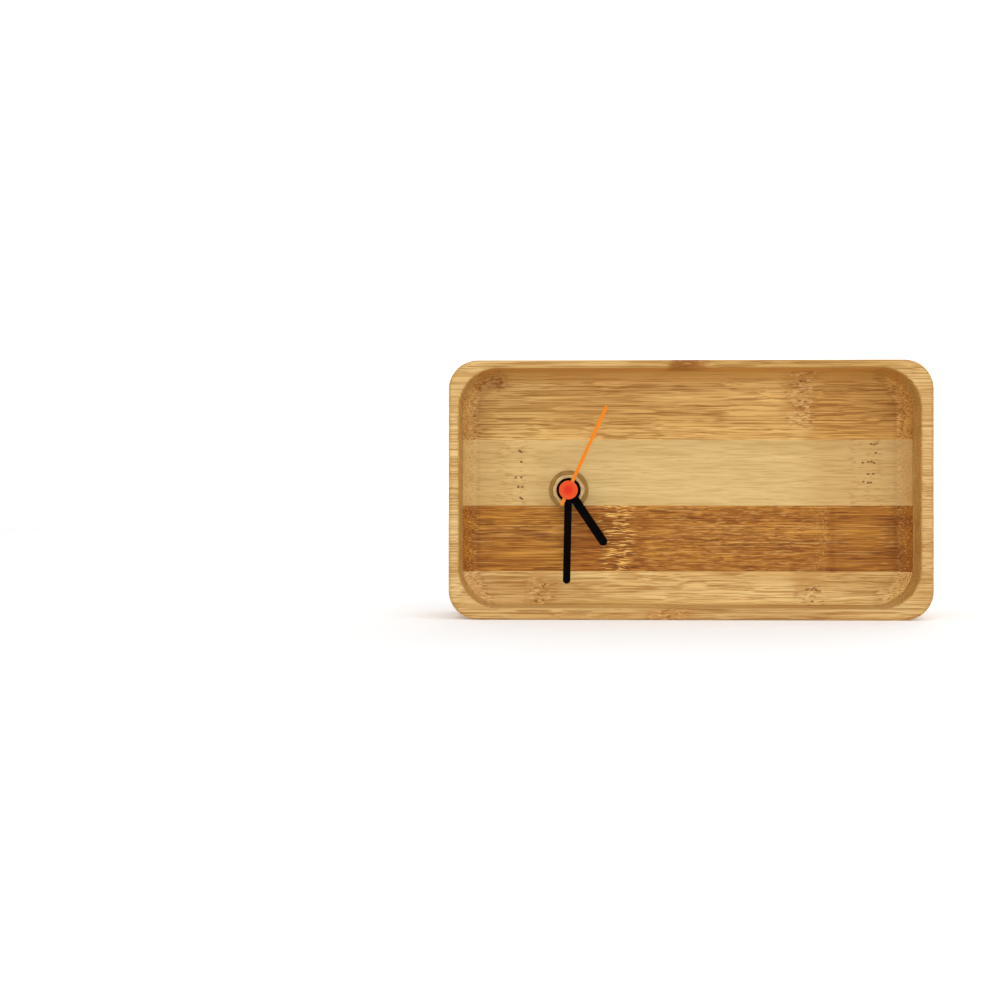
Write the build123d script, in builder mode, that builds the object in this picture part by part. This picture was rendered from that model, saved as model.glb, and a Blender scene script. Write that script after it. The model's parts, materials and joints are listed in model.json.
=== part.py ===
from build123d import *
import math
import os

# Wooden desk clock: a laminated bamboo block with a recessed dial and a quartz movement at its back.
# Frame: +Z up, +X to the right seen from the front, the front faces -Y.
# The origin is the middle of the flat base.
# Lengths are millimetres and angles are degrees.

# Bamboo block
width = 160.0
height = 86.0
depth = 38.0
corner_radius = 9.7
front_edge_round = 1.0
back_edge_round = 1.5

# Recess in the front, set by the rim left on each side
rim_left = 3.5
rim_right = 4.3
rim_top = 2.6
rim_bottom = 3.9
mouth_radius = 13.3
mouth_edge_round = 0.6
recess_depth = 15.0
recess_floor_round = 6.0

# Glued layers of the block
frame_depth = 11.0
dial_thickness = 4.5
strip_width = 22.4
middle_seam_drop = 5.3

# Axis of the hands
hands_from_left = 39.7

# Fits
running_gap = 0.05
press_gap = 0.01
end_shake = 0.15
axial_gap = 0.4

# Hands, with their clock angles at rest
hour_angle = 146.1
minute_angle = 181.2
second_angle = 24.6
hour_length = 22.3
hour_blade = 2.9
hour_hub_radius = 4.1
minute_length = 31.5
minute_blade = 2.5
minute_hub_radius = 3.4
second_length = 30.9
second_blade = 1.2
second_tail = 5.6
second_hub_radius = 3.15
second_hub_thickness = 0.9
second_hub_round = 0.3
hand_thickness = 0.4
hand_spacing = 1.6
collar_wall = 0.6
collar_length = 0.8
tube_show = 0.15
second_bush_radius = 0.95

# Arbor and tubes of the hands
arbor_radius = 0.5
minute_tube_radius = 1.6
hour_tube_radius = 2.55

# Threaded bush, nut and washers
thread_radius = 4.0
thread_show = 1.0
thread_chamfer = 0.4
flange_radius = 5.5
flange_thickness = 0.5
dial_hole_gap = 0.15
washer_radius = 6.7
washer_thickness = 0.8
washer_round = 0.15
nut_across_flats = 10.1
nut_thickness = 2.0
nut_chamfer = 0.5
nut_turn = 5.0
rubber_radius = 10.0
rubber_thickness = 0.8

# Movement case, its width typed and its height set by what it holds, and its pocket
case_size = 56.0
case_corner = 4.0
case_wall = 1.2
cover_thickness = 1.2
cover_gap = 0.1
cover_lip = 0.6
cover_lip_wall = 0.8
coil_headroom = 1.73
wheel_room = 1.6
pocket_gap = 2.0
pocket_radius = 8.0

# Gears: tooth counts, modules and thickness
wheel_thickness = 1.0
pinion_overhang = 0.1
rotor_leaves = 8
first_teeth = 60
first_leaves = 15
seconds_teeth = 60
seconds_leaves = 8
third_teeth = 60
third_leaves = 8
center_teeth = 64
minute_leaves = 16
motion_teeth = 48
motion_leaves = 10
hour_teeth = 40
knob_leaves = 16
motor_module = 0.24
center_module = 0.24
motion_module = 0.25

# Tooth form, in modules: thickness on the pitch circle, heights and tip width
wheel_tooth = 1.45
wheel_addendum = 1.0
pinion_tooth = 1.2
pinion_addendum = 0.8
tooth_dedendum = 1.35
tooth_tip = 0.5

# Directions from one axis to the next, counterclockwise from +X seen from the front
third_direction = 160.0
first_direction = 60.0
rotor_direction = 30.0
motion_direction = -20.0
knob_direction = -10.0

# Pins, bosses and the plate behind the wheels
pin_radius = 0.35
hub_radius = 0.8
boss_radius = 0.8
post_radius = 1.5
spigot_radius = 0.8
upper_post_left = 10.0
upper_post_rise = 14.0
right_post_right = 18.5
right_post_rise = 4.0
post_gap = 0.6
plate_thickness = 1.0
plate_margin = 2.4

# Stepping motor
magnet_radius = 2.2
magnet_length = 2.2
rotor_hub_radius = 0.9
stator_thickness = 1.2
stator_air_gap = 0.6
stator_slit = 0.8
pole_half_height = 3.0
stator_half_width = 10.0
arm_width = 3.3
coil_rise = 9.6
coil_half_length = 6.4
core_thickness = 1.2
core_width = 3.0
bobbin_radius = 2.1
bobbin_flange_radius = 3.6
bobbin_flange_thickness = 0.8
winding_radius = 3.3

# Circuit board and its parts
board_gap = 3.0
board_height = 10.0
board_thickness = 0.8
board_post_inset = 4.0
blob_radius = 3.0
blob_height = 1.2
blob_round = 0.96
blob_inset = 8.3
crystal_radius = 1.0
crystal_length = 6.0

# Battery, one AA cell as long as the bay less the contacts' room, and its contacts
battery_diameter = 14.5
contact_room = 1.55
battery_gap = 0.25
can_wall = 0.3
jacket_thickness = 0.15
jacket_margin = 0.8
nub_radius = 2.75
nub_length = 1.0
contact_thickness = 0.3
contact_width = 8.0
contact_half_bend = 4.5
contact_foot = 0.9
contact_gap = 0.05
riser_width = 3.0
riser_clearance = 0.2
board_overlap = 4.0
thumb_notch_width = 16.0
thumb_notch_depth = 7.0

# Setting knob
knob_radius = 5.5
knob_thickness = 1.5
knob_shaft_radius = 1.6
knob_shoulder_radius = 2.4
knob_shoulder_thickness = 0.5
knob_ridges = 28
knob_groove_radius = 0.3
knob_dish_radius = 3.6
knob_dish_depth = 0.4
knob_pin_radius = 0.6
knob_pin_length = 1.6
knob_lift = 0.3

# Depths along Y, from the front of the block to its back
front_y = -depth / 2
back_y = depth / 2
ply_y = front_y + frame_depth
floor_y = front_y + recess_depth
dial_back_y = floor_y + dial_thickness
case_front_y = dial_back_y + rubber_thickness
case_floor_y = case_front_y + case_wall
hour_y = case_floor_y + flange_thickness + end_shake + pinion_overhang
layer_pitch = wheel_thickness + axial_gap
motion_y = hour_y + layer_pitch
center_y = motion_y + layer_pitch
third_y = center_y + layer_pitch
seconds_y = third_y + layer_pitch
first_y = seconds_y + layer_pitch
magnet_y = first_y + layer_pitch
plate_y = magnet_y + magnet_length + axial_gap
plate_back_y = plate_y + plate_thickness
cover_y = plate_back_y + axial_gap
case_back_y = cover_y + cover_thickness

# Depths of the hand stack, counted forwards from the recess floor
washer_y = floor_y - washer_thickness
nut_y = washer_y - nut_thickness
bush_y = nut_y - thread_show
hour_hand_y = bush_y - axial_gap - collar_length - hand_thickness
minute_hand_y = hour_hand_y - hand_spacing - hand_thickness
hour_tube_y = hour_hand_y - tube_show
minute_tube_y = minute_hand_y - tube_show
second_hand_y = minute_hand_y - hand_spacing - hand_thickness
second_bush_y = second_hand_y + hand_thickness
arbor_y = second_bush_y + press_gap

# Recess outline
recess_left = -width / 2 + rim_left
recess_right = width / 2 - rim_right
recess_low = rim_bottom
recess_high = height - rim_top


def step_from(axis, distance, direction):
    """Point at a distance and direction from an axis, as (x, z)."""
    angle = math.radians(direction)
    return (axis[0] + distance * math.cos(angle), axis[1] + distance * math.sin(angle))


# Axes of the movement as (x, z), each a gear pair's centre distance from the one before
hands_axis = (-width / 2 + hands_from_left, height / 2)
third_distance = center_module * (third_leaves + center_teeth) / 2
third_module = 2 * third_distance / (seconds_leaves + third_teeth)
third_axis = step_from(hands_axis, third_distance, third_direction)
first_distance = motor_module * (first_leaves + seconds_teeth) / 2
first_axis = step_from(hands_axis, first_distance, first_direction)
rotor_distance = motor_module * (rotor_leaves + first_teeth) / 2
rotor_axis = step_from(first_axis, rotor_distance, rotor_direction)
motion_distance = motion_module * (minute_leaves + motion_teeth) / 2
hour_module = 2 * motion_distance / (motion_leaves + hour_teeth)
motion_axis = step_from(hands_axis, motion_distance, motion_direction)
knob_distance = motion_module * (motion_teeth + knob_leaves) / 2
knob_axis = step_from(motion_axis, knob_distance, knob_direction)

# Inside of the movement case: the room for the wheels above, the battery bay below
coil_z = rotor_axis[1] + coil_rise
motion_tip_radius = motion_module * (motion_teeth / 2 + wheel_addendum)
inside_half = case_size / 2 - case_wall
inside_left = hands_axis[0] - inside_half
inside_right = hands_axis[0] + inside_half
inside_high = coil_z + bobbin_flange_radius + coil_headroom
room_low = motion_axis[1] - motion_tip_radius - wheel_room
bay_high = room_low - case_wall
inside_low = bay_high - battery_diameter - 2 * battery_gap
case_left = inside_left - case_wall
case_right = inside_right + case_wall
case_low = inside_low - case_wall
case_high = inside_high + case_wall
case_height = case_high - case_low
case_axis = (hands_axis[0], (case_low + case_high) / 2)
battery_length = 2 * (inside_half - contact_room)

# Posts that carry the plate, placed clear of every wheel, as (x, z)
third_tip_radius = third_module * (third_teeth / 2 + wheel_addendum)
lower_post_x = third_axis[0] - third_tip_radius - post_gap - post_radius
lower_post_z = room_low + cover_gap + cover_lip_wall + axial_gap + plate_margin
plate_posts = [
    (hands_axis[0] - upper_post_left, hands_axis[1] + upper_post_rise),
    (hands_axis[0] + right_post_right, hands_axis[1] + right_post_rise),
    (lower_post_x, lower_post_z),
]

# Coil and circuit board places
stator_y = magnet_y + (magnet_length - stator_thickness) / 2
core_y = stator_y - core_thickness
coil_y = core_y + core_thickness / 2
riser_back_y = cover_y - cover_lip - riser_clearance
riser_front_y = riser_back_y - riser_width
board_left = inside_left + contact_thickness
board_right = rotor_axis[0] - stator_half_width - board_gap
board_width = board_right - board_left
board_high = inside_high - contact_thickness
board_low = board_high - board_height
board_y = riser_front_y + axial_gap
board_back_y = board_y + board_thickness

# Battery place: its axis is along X
battery_y = case_floor_y + battery_gap + battery_diameter / 2
battery_z = inside_low + battery_gap + battery_diameter / 2
battery_left = hands_axis[0] - battery_length / 2
battery_right = hands_axis[0] + battery_length / 2
can_right = battery_right - nub_length
can_radius = battery_diameter / 2 - jacket_thickness


def upright(y, x=0.0, z=0.0):
    """Plane that faces the front at depth y, with its origin at x and z."""
    return Plane(origin=(x, y, z), x_dir=(1, 0, 0), z_dir=(0, -1, 0))


def across(x, y, z):
    """Plane that faces +X, for pieces that lie along X."""
    return Plane(origin=(x, y, z), x_dir=(0, 1, 0), z_dir=(1, 0, 0))


def pointing(y, clock_angle):
    """Upright plane on the hands' axis whose second direction points at a clock angle."""
    angle = math.radians(clock_angle)
    toward_right = (math.cos(angle), 0, -math.sin(angle))
    return Plane(origin=(hands_axis[0], y, hands_axis[1]), x_dir=toward_right, z_dir=(0, -1, 0))


def disc(front, back, radius, axis=hands_axis):
    """Round disc between two depths."""
    with BuildPart() as piece:
        with BuildSketch(upright(back, *axis)):
            Circle(radius)
        extrude(amount=back - front)
    return piece.part


def ring(front, back, outer, inner, axis=hands_axis):
    """Round ring between two depths."""
    with BuildPart() as piece:
        with BuildSketch(upright(back, *axis)):
            Circle(outer)
            Circle(inner, mode=Mode.SUBTRACT)
        extrude(amount=back - front)
    return piece.part


def slab(left, right, front, back, low, high):
    """Box between six limits."""
    with BuildPart() as piece:
        with BuildSketch(upright(back)):
            with Locations(((left + right) / 2, (low + high) / 2)):
                Rectangle(right - left, high - low)
        extrude(amount=back - front)
    return piece.part


def toothed(front, back, axis, teeth, module, turn, tooth, addendum):
    """Toothed disc whose first tooth points at the angle turn."""
    pitch_radius = module * teeth / 2
    tip_radius = pitch_radius + addendum * module
    root_radius = pitch_radius - tooth_dedendum * module
    flank = tooth * module / 2 / pitch_radius
    tip = tooth_tip * module / 2 / tip_radius
    outline = []
    for count in range(teeth):
        middle = math.radians(turn) + 2 * math.pi * count / teeth
        steps = [
            (root_radius, -flank),
            (pitch_radius, -flank),
            (tip_radius, -tip),
            (tip_radius, tip),
            (pitch_radius, flank),
            (root_radius, flank),
        ]
        for radius, swing in steps:
            outline.append((radius * math.cos(middle + swing), radius * math.sin(middle + swing)))
    with BuildPart() as piece:
        with BuildSketch(upright(back, *axis)):
            with BuildLine():
                Polyline(*outline, close=True)
            make_face()
        extrude(amount=back - front)
    return piece.part


def wheel(front, back, axis, teeth, module, turn):
    """Large gear with wide teeth."""
    return toothed(front, back, axis, teeth, module, turn, wheel_tooth, wheel_addendum)


def pinion(front, back, axis, leaves, module, turn):
    """Small gear with slender leaves."""
    return toothed(front, back, axis, leaves, module, turn, pinion_tooth, pinion_addendum)


def meshed(turn, teeth, next_teeth, direction):
    """Turn of the next gear that puts a gap opposite the first gear's tooth along a direction."""
    return direction + 180 + 180 / next_teeth - (turn - direction) * teeth / next_teeth


# Rest turns of the gears, each meshed with the one before it
third_turn = meshed(0, seconds_leaves, third_teeth, third_direction)
center_turn = meshed(0, third_leaves, center_teeth, third_direction + 180)
first_pinion_turn = meshed(0, seconds_teeth, first_leaves, first_direction)
rotor_turn = meshed(0, first_teeth, rotor_leaves, rotor_direction)
motion_turn = meshed(0, minute_leaves, motion_teeth, motion_direction)
hour_turn = meshed(0, motion_leaves, hour_teeth, motion_direction + 180)
knob_turn = meshed(motion_turn, motion_teeth, knob_leaves, knob_direction)

# Bamboo block, carved as one and then parted at its glue lines
with BuildPart() as block:
    with BuildSketch(upright(back_y, 0, height / 2)):
        RectangleRounded(width, height, corner_radius)
    extrude(amount=depth)
    fillet(block.faces().sort_by(Axis.Y)[0].edges(), front_edge_round)
    fillet(block.faces().sort_by(Axis.Y)[-1].edges(), back_edge_round)
    with BuildSketch(upright(front_y, (recess_left + recess_right) / 2, (recess_low + recess_high) / 2)):
        RectangleRounded(recess_right - recess_left, recess_high - recess_low, mouth_radius)
    extrude(amount=-recess_depth, mode=Mode.SUBTRACT)
    fillet(block.faces().filter_by(Axis.Y).sort_by(Axis.Y)[1].edges(), recess_floor_round)
    fillet(block.faces().filter_by(Axis.Y).sort_by(Axis.Y)[0].inner_wires()[0].edges(), mouth_edge_round)
    with BuildSketch(upright(back_y, *case_axis)):
        RectangleRounded(case_size + 2 * pocket_gap, case_height + 2 * pocket_gap, pocket_radius)
    extrude(amount=back_y - dial_back_y, mode=Mode.SUBTRACT)
    add(disc(floor_y, dial_back_y, thread_radius + dial_hole_gap), mode=Mode.SUBTRACT)

with BuildPart() as front_frame:
    add(block.part)
    split(bisect_by=upright(ply_y), keep=Keep.TOP)

with BuildPart() as dial_board:
    add(block.part)
    split(bisect_by=upright(ply_y), keep=Keep.BOTTOM)
    split(bisect_by=upright(dial_back_y), keep=Keep.TOP)

with BuildPart() as rear_block:
    add(block.part)
    split(bisect_by=upright(dial_back_y), keep=Keep.BOTTOM)

# Strips of the dial board between their glue seams
middle_seam_z = height / 2 - middle_seam_drop
upper_seam = Plane.XY.offset(middle_seam_z + strip_width)
middle_seam = Plane.XY.offset(middle_seam_z)
lower_seam = Plane.XY.offset(middle_seam_z - strip_width)

with BuildPart() as dial_strip_top:
    add(dial_board.part)
    split(bisect_by=upper_seam, keep=Keep.TOP)

with BuildPart() as dial_strip_light:
    add(dial_board.part)
    split(bisect_by=upper_seam, keep=Keep.BOTTOM)
    split(bisect_by=middle_seam, keep=Keep.TOP)

with BuildPart() as dial_strip_dark:
    add(dial_board.part)
    split(bisect_by=middle_seam, keep=Keep.BOTTOM)
    split(bisect_by=lower_seam, keep=Keep.TOP)

with BuildPart() as dial_strip_bottom:
    add(dial_board.part)
    split(bisect_by=lower_seam, keep=Keep.BOTTOM)

# Threaded bush: a flange inside the case and a neck through the dial board
with BuildPart() as threaded_bush:
    add(disc(bush_y, case_floor_y, thread_radius))
    chamfer(threaded_bush.faces().sort_by(Axis.Y)[0].edges(), thread_chamfer)
    add(disc(case_floor_y, case_floor_y + flange_thickness, flange_radius))
    bush_bore = hour_tube_radius + running_gap
    add(disc(bush_y, case_floor_y + flange_thickness, bush_bore), mode=Mode.SUBTRACT)

with BuildPart() as rubber_washer:
    add(ring(dial_back_y, case_front_y, rubber_radius, thread_radius + press_gap))

with BuildPart() as washer:
    add(ring(washer_y, floor_y, washer_radius, thread_radius + press_gap))
    outer_edges = washer.edges().filter_by(GeomType.CIRCLE).group_by(SortBy.RADIUS)[-1]
    fillet(outer_edges, washer_round)

with BuildPart() as hex_nut:
    with BuildSketch(upright(washer_y, *hands_axis)):
        RegularPolygon(nut_across_flats / 2, 6, major_radius=False, rotation=nut_turn)
    extrude(amount=nut_thickness)
    with BuildPart(mode=Mode.PRIVATE) as nut_round:
        nut_corner_radius = nut_across_flats / math.sqrt(3)
        add(disc(nut_y, washer_y, nut_corner_radius))
        chamfer(nut_round.edges().sort_by(Axis.Y)[0], nut_chamfer)
    add(nut_round.part, mode=Mode.INTERSECT)
    add(disc(nut_y, washer_y, thread_radius + press_gap), mode=Mode.SUBTRACT)

# Movement case: a tray with a wall between the wheels and the battery bay
with BuildPart() as movement_case:
    with BuildSketch(upright(case_back_y, *case_axis)):
        RectangleRounded(case_size, case_height, case_corner)
    extrude(amount=case_back_y - case_front_y)
    add(slab(inside_left, inside_right, case_floor_y, case_back_y, inside_low, bay_high), mode=Mode.SUBTRACT)
    add(slab(inside_left, inside_right, case_floor_y, case_back_y, room_low, inside_high), mode=Mode.SUBTRACT)
    cover_seat = slab(case_left, case_right, cover_y, case_back_y, bay_high, case_high)
    add(cover_seat, mode=Mode.SUBTRACT)
    notch_left = hands_axis[0] - thumb_notch_width / 2
    thumb_notch = slab(
        notch_left,
        notch_left + thumb_notch_width,
        case_back_y - thumb_notch_depth,
        case_back_y,
        case_low,
        inside_low,
    )
    add(thumb_notch, mode=Mode.SUBTRACT)
    slot_depth = contact_thickness + riser_clearance
    slot_front_y = riser_front_y - riser_clearance
    for slot_left in (inside_left, inside_right - slot_depth):
        slot = slab(slot_left, slot_left + slot_depth, slot_front_y, cover_y, bay_high, room_low)
        add(slot, mode=Mode.SUBTRACT)
    add(disc(case_front_y, case_floor_y, thread_radius + press_gap), mode=Mode.SUBTRACT)
    for post in plate_posts:
        add(disc(case_floor_y, plate_y, post_radius, post))
        add(disc(plate_y, plate_back_y, spigot_radius, post))
    boss_ends = [
        (third_axis, center_y - pinion_overhang - end_shake),
        (first_axis, seconds_y - pinion_overhang - end_shake),
        (rotor_axis, first_y - pinion_overhang - end_shake),
        (motion_axis, hour_y - pinion_overhang - end_shake),
    ]
    for axis, boss_end in boss_ends:
        add(ring(case_floor_y, boss_end, boss_radius, pin_radius + press_gap, axis))
    for side in (-1, 1):
        stator_post = (rotor_axis[0] + side * (stator_half_width - arm_width / 2), coil_z - core_width)
        add(disc(case_floor_y, stator_y, boss_radius, stator_post))
    board_middle = (board_low + board_high) / 2
    for post_x in (board_left + board_post_inset, board_right - board_post_inset):
        add(disc(case_floor_y, board_y, post_radius, (post_x, board_middle)))
    knob_seat_y = motion_y - pinion_overhang - end_shake
    add(disc(case_floor_y, knob_seat_y, post_radius, knob_axis))
    add(disc(knob_seat_y, knob_seat_y + knob_pin_length, knob_pin_radius, knob_axis))

with BuildPart() as movement_cover:
    with BuildSketch(upright(case_back_y, *case_axis)):
        RectangleRounded(case_size, case_height, case_corner)
    extrude(amount=cover_thickness)
    split(bisect_by=Plane.XY.offset(bay_high + cover_gap), keep=Keep.TOP)
    lip_left = inside_left + cover_gap
    lip_right = inside_right - cover_gap
    lip_low = room_low + cover_gap
    lip_high = inside_high - cover_gap
    add(slab(lip_left, lip_right, cover_y - cover_lip, cover_y, lip_low, lip_high))
    lip_room = slab(
        lip_left + cover_lip_wall,
        lip_right - cover_lip_wall,
        cover_y - cover_lip,
        cover_y,
        lip_low + cover_lip_wall,
        lip_high - cover_lip_wall,
    )
    add(lip_room, mode=Mode.SUBTRACT)
    knob_hole = knob_shaft_radius + running_gap
    add(disc(cover_y, case_back_y, knob_hole, knob_axis), mode=Mode.SUBTRACT)

# Pins that carry the loose wheels, and the plate that holds their back ends
pin_ends = [
    (third_axis, plate_back_y),
    (first_axis, plate_back_y),
    (rotor_axis, plate_back_y),
    (motion_axis, motion_y + wheel_thickness + end_shake),
]
with BuildPart() as wheel_pins:
    for axis, pin_end in pin_ends:
        add(disc(case_floor_y, pin_end, pin_radius, axis))

with BuildPart() as train_plate:
    with BuildSketch(upright(plate_back_y)):
        with Locations(*plate_posts, rotor_axis):
            Circle(plate_margin)
        make_hull()
    extrude(amount=plate_thickness)
    for axis in (third_axis, first_axis, rotor_axis):
        add(disc(plate_y, plate_back_y, pin_radius + press_gap, axis), mode=Mode.SUBTRACT)
    for post in plate_posts:
        add(disc(plate_y, plate_back_y, spigot_radius + press_gap, post), mode=Mode.SUBTRACT)
    add(disc(plate_y, plate_back_y, arbor_radius + running_gap), mode=Mode.SUBTRACT)

# Going train, from the rotor to the centre wheel
hub_back_y = plate_y - end_shake
pin_bore = pin_radius + running_gap

with BuildPart() as rotor_pinion:
    rotor_front_y = first_y - pinion_overhang
    rotor_leaf_back_y = first_y + wheel_thickness + pinion_overhang
    add(pinion(rotor_front_y, rotor_leaf_back_y, rotor_axis, rotor_leaves, motor_module, rotor_turn))
    add(disc(rotor_leaf_back_y, hub_back_y, rotor_hub_radius, rotor_axis))
    add(disc(rotor_front_y, hub_back_y, pin_bore, rotor_axis), mode=Mode.SUBTRACT)

with BuildPart() as rotor_magnet:
    magnet_back_y = magnet_y + magnet_length
    add(ring(magnet_y, magnet_back_y, magnet_radius, rotor_hub_radius + press_gap, rotor_axis))

with BuildPart() as first_wheel:
    first_front_y = seconds_y - pinion_overhang
    first_back_y = first_y + wheel_thickness
    add(wheel(first_y, first_back_y, first_axis, first_teeth, motor_module, 0))
    add(pinion(first_front_y, first_y, first_axis, first_leaves, motor_module, first_pinion_turn))
    add(disc(first_back_y, hub_back_y, hub_radius, first_axis))
    add(disc(first_front_y, hub_back_y, pin_bore, first_axis), mode=Mode.SUBTRACT)

with BuildPart() as seconds_wheel:
    seconds_back_y = seconds_y + wheel_thickness
    add(disc(arbor_y, plate_back_y, arbor_radius))
    add(wheel(seconds_y, seconds_back_y, hands_axis, seconds_teeth, motor_module, 0))
    add(pinion(third_y - pinion_overhang, seconds_y, hands_axis, seconds_leaves, third_module, 0))
    add(disc(seconds_back_y, hub_back_y, hub_radius))

with BuildPart() as third_wheel:
    third_front_y = center_y - pinion_overhang
    third_back_y = third_y + wheel_thickness
    add(wheel(third_y, third_back_y, third_axis, third_teeth, third_module, third_turn))
    add(pinion(third_front_y, third_y, third_axis, third_leaves, center_module, 0))
    add(disc(third_back_y, hub_back_y, hub_radius, third_axis))
    add(disc(third_front_y, hub_back_y, pin_bore, third_axis), mode=Mode.SUBTRACT)

with BuildPart() as center_wheel:
    center_back_y = center_y + wheel_thickness
    add(wheel(center_y, center_back_y, hands_axis, center_teeth, center_module, center_turn))
    add(disc(center_y, center_back_y, minute_tube_radius + press_gap), mode=Mode.SUBTRACT)

# Motion work: minute tube, motion wheel, hour wheel
with BuildPart() as minute_pinion:
    add(disc(minute_tube_y, center_back_y, minute_tube_radius))
    minute_front_y = motion_y - pinion_overhang
    add(pinion(minute_front_y, center_y, hands_axis, minute_leaves, motion_module, 0))
    add(disc(minute_tube_y, center_back_y, arbor_radius + running_gap), mode=Mode.SUBTRACT)

with BuildPart() as motion_wheel:
    motion_front_y = hour_y - pinion_overhang
    motion_back_y = motion_y + wheel_thickness
    add(wheel(motion_y, motion_back_y, motion_axis, motion_teeth, motion_module, motion_turn))
    add(pinion(motion_front_y, motion_y, motion_axis, motion_leaves, hour_module, 0))
    add(disc(motion_front_y, motion_back_y, pin_bore, motion_axis), mode=Mode.SUBTRACT)

with BuildPart() as hour_wheel:
    hour_back_y = hour_y + wheel_thickness
    add(disc(hour_tube_y, hour_y, hour_tube_radius))
    add(wheel(hour_y, hour_back_y, hands_axis, hour_teeth, hour_module, hour_turn))
    add(disc(hour_tube_y, hour_back_y, minute_tube_radius + running_gap), mode=Mode.SUBTRACT)

with BuildPart() as setting_knob:
    knob_gear_y = motion_y - pinion_overhang
    knob_head_y = case_back_y + knob_lift
    knob_back_y = knob_head_y + knob_thickness
    add(pinion(knob_gear_y, motion_back_y, knob_axis, knob_leaves, motion_module, knob_turn))
    add(disc(motion_back_y, knob_head_y, knob_shaft_radius, knob_axis))
    shoulder_back_y = cover_y - end_shake
    add(disc(shoulder_back_y - knob_shoulder_thickness, shoulder_back_y, knob_shoulder_radius, knob_axis))
    add(disc(knob_head_y, knob_back_y, knob_radius, knob_axis))
    with BuildSketch(upright(knob_back_y, *knob_axis)):
        with PolarLocations(knob_radius, knob_ridges):
            Circle(knob_groove_radius)
    extrude(amount=knob_thickness, mode=Mode.SUBTRACT)
    add(disc(knob_back_y - knob_dish_depth, knob_back_y, knob_dish_radius, knob_axis), mode=Mode.SUBTRACT)
    knob_bore_back_y = knob_seat_y + knob_pin_length + end_shake
    add(disc(knob_gear_y, knob_bore_back_y, knob_pin_radius + running_gap, knob_axis), mode=Mode.SUBTRACT)


def blade(plane, length, breadth, hub):
    """Flat hand with a round hub and a round tip."""
    straight = length - breadth / 2
    with BuildPart() as piece:
        with BuildSketch(plane):
            Circle(hub)
            with Locations((0, straight / 2)):
                Rectangle(breadth, straight)
            with Locations((0, straight)):
                Circle(breadth / 2)
        extrude(amount=hand_thickness)
    return piece.part


# Hands, each gripping its own tube
with BuildPart() as hour_hand:
    hour_hand_back_y = hour_hand_y + hand_thickness
    hour_collar_y = hour_hand_back_y + collar_length
    add(blade(pointing(hour_hand_back_y, hour_angle), hour_length, hour_blade, hour_hub_radius))
    add(disc(hour_hand_back_y, hour_collar_y, hour_tube_radius + collar_wall))
    add(disc(hour_hand_y, hour_collar_y, hour_tube_radius + press_gap), mode=Mode.SUBTRACT)

with BuildPart() as minute_hand:
    minute_hand_back_y = minute_hand_y + hand_thickness
    minute_collar_y = minute_hand_back_y + collar_length
    add(blade(pointing(minute_hand_back_y, minute_angle), minute_length, minute_blade, minute_hub_radius))
    add(disc(minute_hand_back_y, minute_collar_y, minute_tube_radius + collar_wall))
    add(disc(minute_hand_y, minute_collar_y, minute_tube_radius + press_gap), mode=Mode.SUBTRACT)

with BuildPart() as second_hand:
    second_hub_y = second_bush_y - second_hub_thickness
    add(disc(second_hub_y, second_bush_y, second_hub_radius))
    fillet(second_hand.faces().sort_by(Axis.Y)[0].edges(), second_hub_round)
    second_plane = pointing(second_bush_y, second_angle)
    add(blade(second_plane, second_length, second_blade, second_hub_radius))
    with BuildSketch(second_plane):
        with Locations((0, -second_tail / 2)):
            Rectangle(second_blade, second_tail)
    extrude(amount=hand_thickness)

with BuildPart() as second_hand_bush:
    bush_back_y = minute_tube_y - axial_gap
    add(ring(second_bush_y, bush_back_y, second_bush_radius, arbor_radius + press_gap))

# Stepping motor: two pole plates round the magnet, and the coil above them
with BuildPart() as stator_plates:
    stator_back_y = stator_y + stator_thickness
    stator_low = rotor_axis[1] - pole_half_height
    stator_high = coil_z + core_width / 2
    for side in (-1, 1):
        outer_x = rotor_axis[0] + side * stator_half_width
        arm_x = outer_x - side * arm_width
        slit_x = rotor_axis[0] + side * stator_slit / 2
        arm_left, arm_right = sorted((outer_x, arm_x))
        pole_left, pole_right = sorted((outer_x, slit_x))
        add(slab(arm_left, arm_right, stator_y, stator_back_y, stator_low, stator_high))
        pole_high = rotor_axis[1] + pole_half_height
        add(slab(pole_left, pole_right, stator_y, stator_back_y, stator_low, pole_high))
    add(disc(stator_y, stator_back_y, magnet_radius + stator_air_gap, rotor_axis), mode=Mode.SUBTRACT)

coil_left = rotor_axis[0] - coil_half_length
winding_left = coil_left + bobbin_flange_thickness
winding_length = 2 * (coil_half_length - bobbin_flange_thickness)

with BuildPart() as coil_core:
    core_left = rotor_axis[0] - stator_half_width
    core_right = rotor_axis[0] + stator_half_width
    add(slab(core_left, core_right, core_y, stator_y, coil_z - core_width / 2, coil_z + core_width / 2))

with BuildPart() as coil_bobbin:
    with BuildSketch(across(coil_left, coil_y, coil_z)):
        Circle(bobbin_radius)
    extrude(amount=2 * coil_half_length)
    for flange_left in (coil_left, winding_left + winding_length):
        with BuildSketch(across(flange_left, coil_y, coil_z)):
            Circle(bobbin_flange_radius)
        extrude(amount=bobbin_flange_thickness)
    with BuildSketch(across(coil_left, coil_y, coil_z)):
        Rectangle(core_thickness, core_width)
    extrude(amount=2 * coil_half_length, mode=Mode.SUBTRACT)

with BuildPart() as coil_winding:
    with BuildSketch(across(winding_left, coil_y, coil_z)):
        Circle(winding_radius)
        Circle(bobbin_radius + press_gap, mode=Mode.SUBTRACT)
    extrude(amount=winding_length)

# Circuit board with its crystal and its chip under a blob
with BuildPart() as circuit_board:
    add(slab(board_left, board_right, board_y, board_back_y, board_low, board_high))

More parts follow.
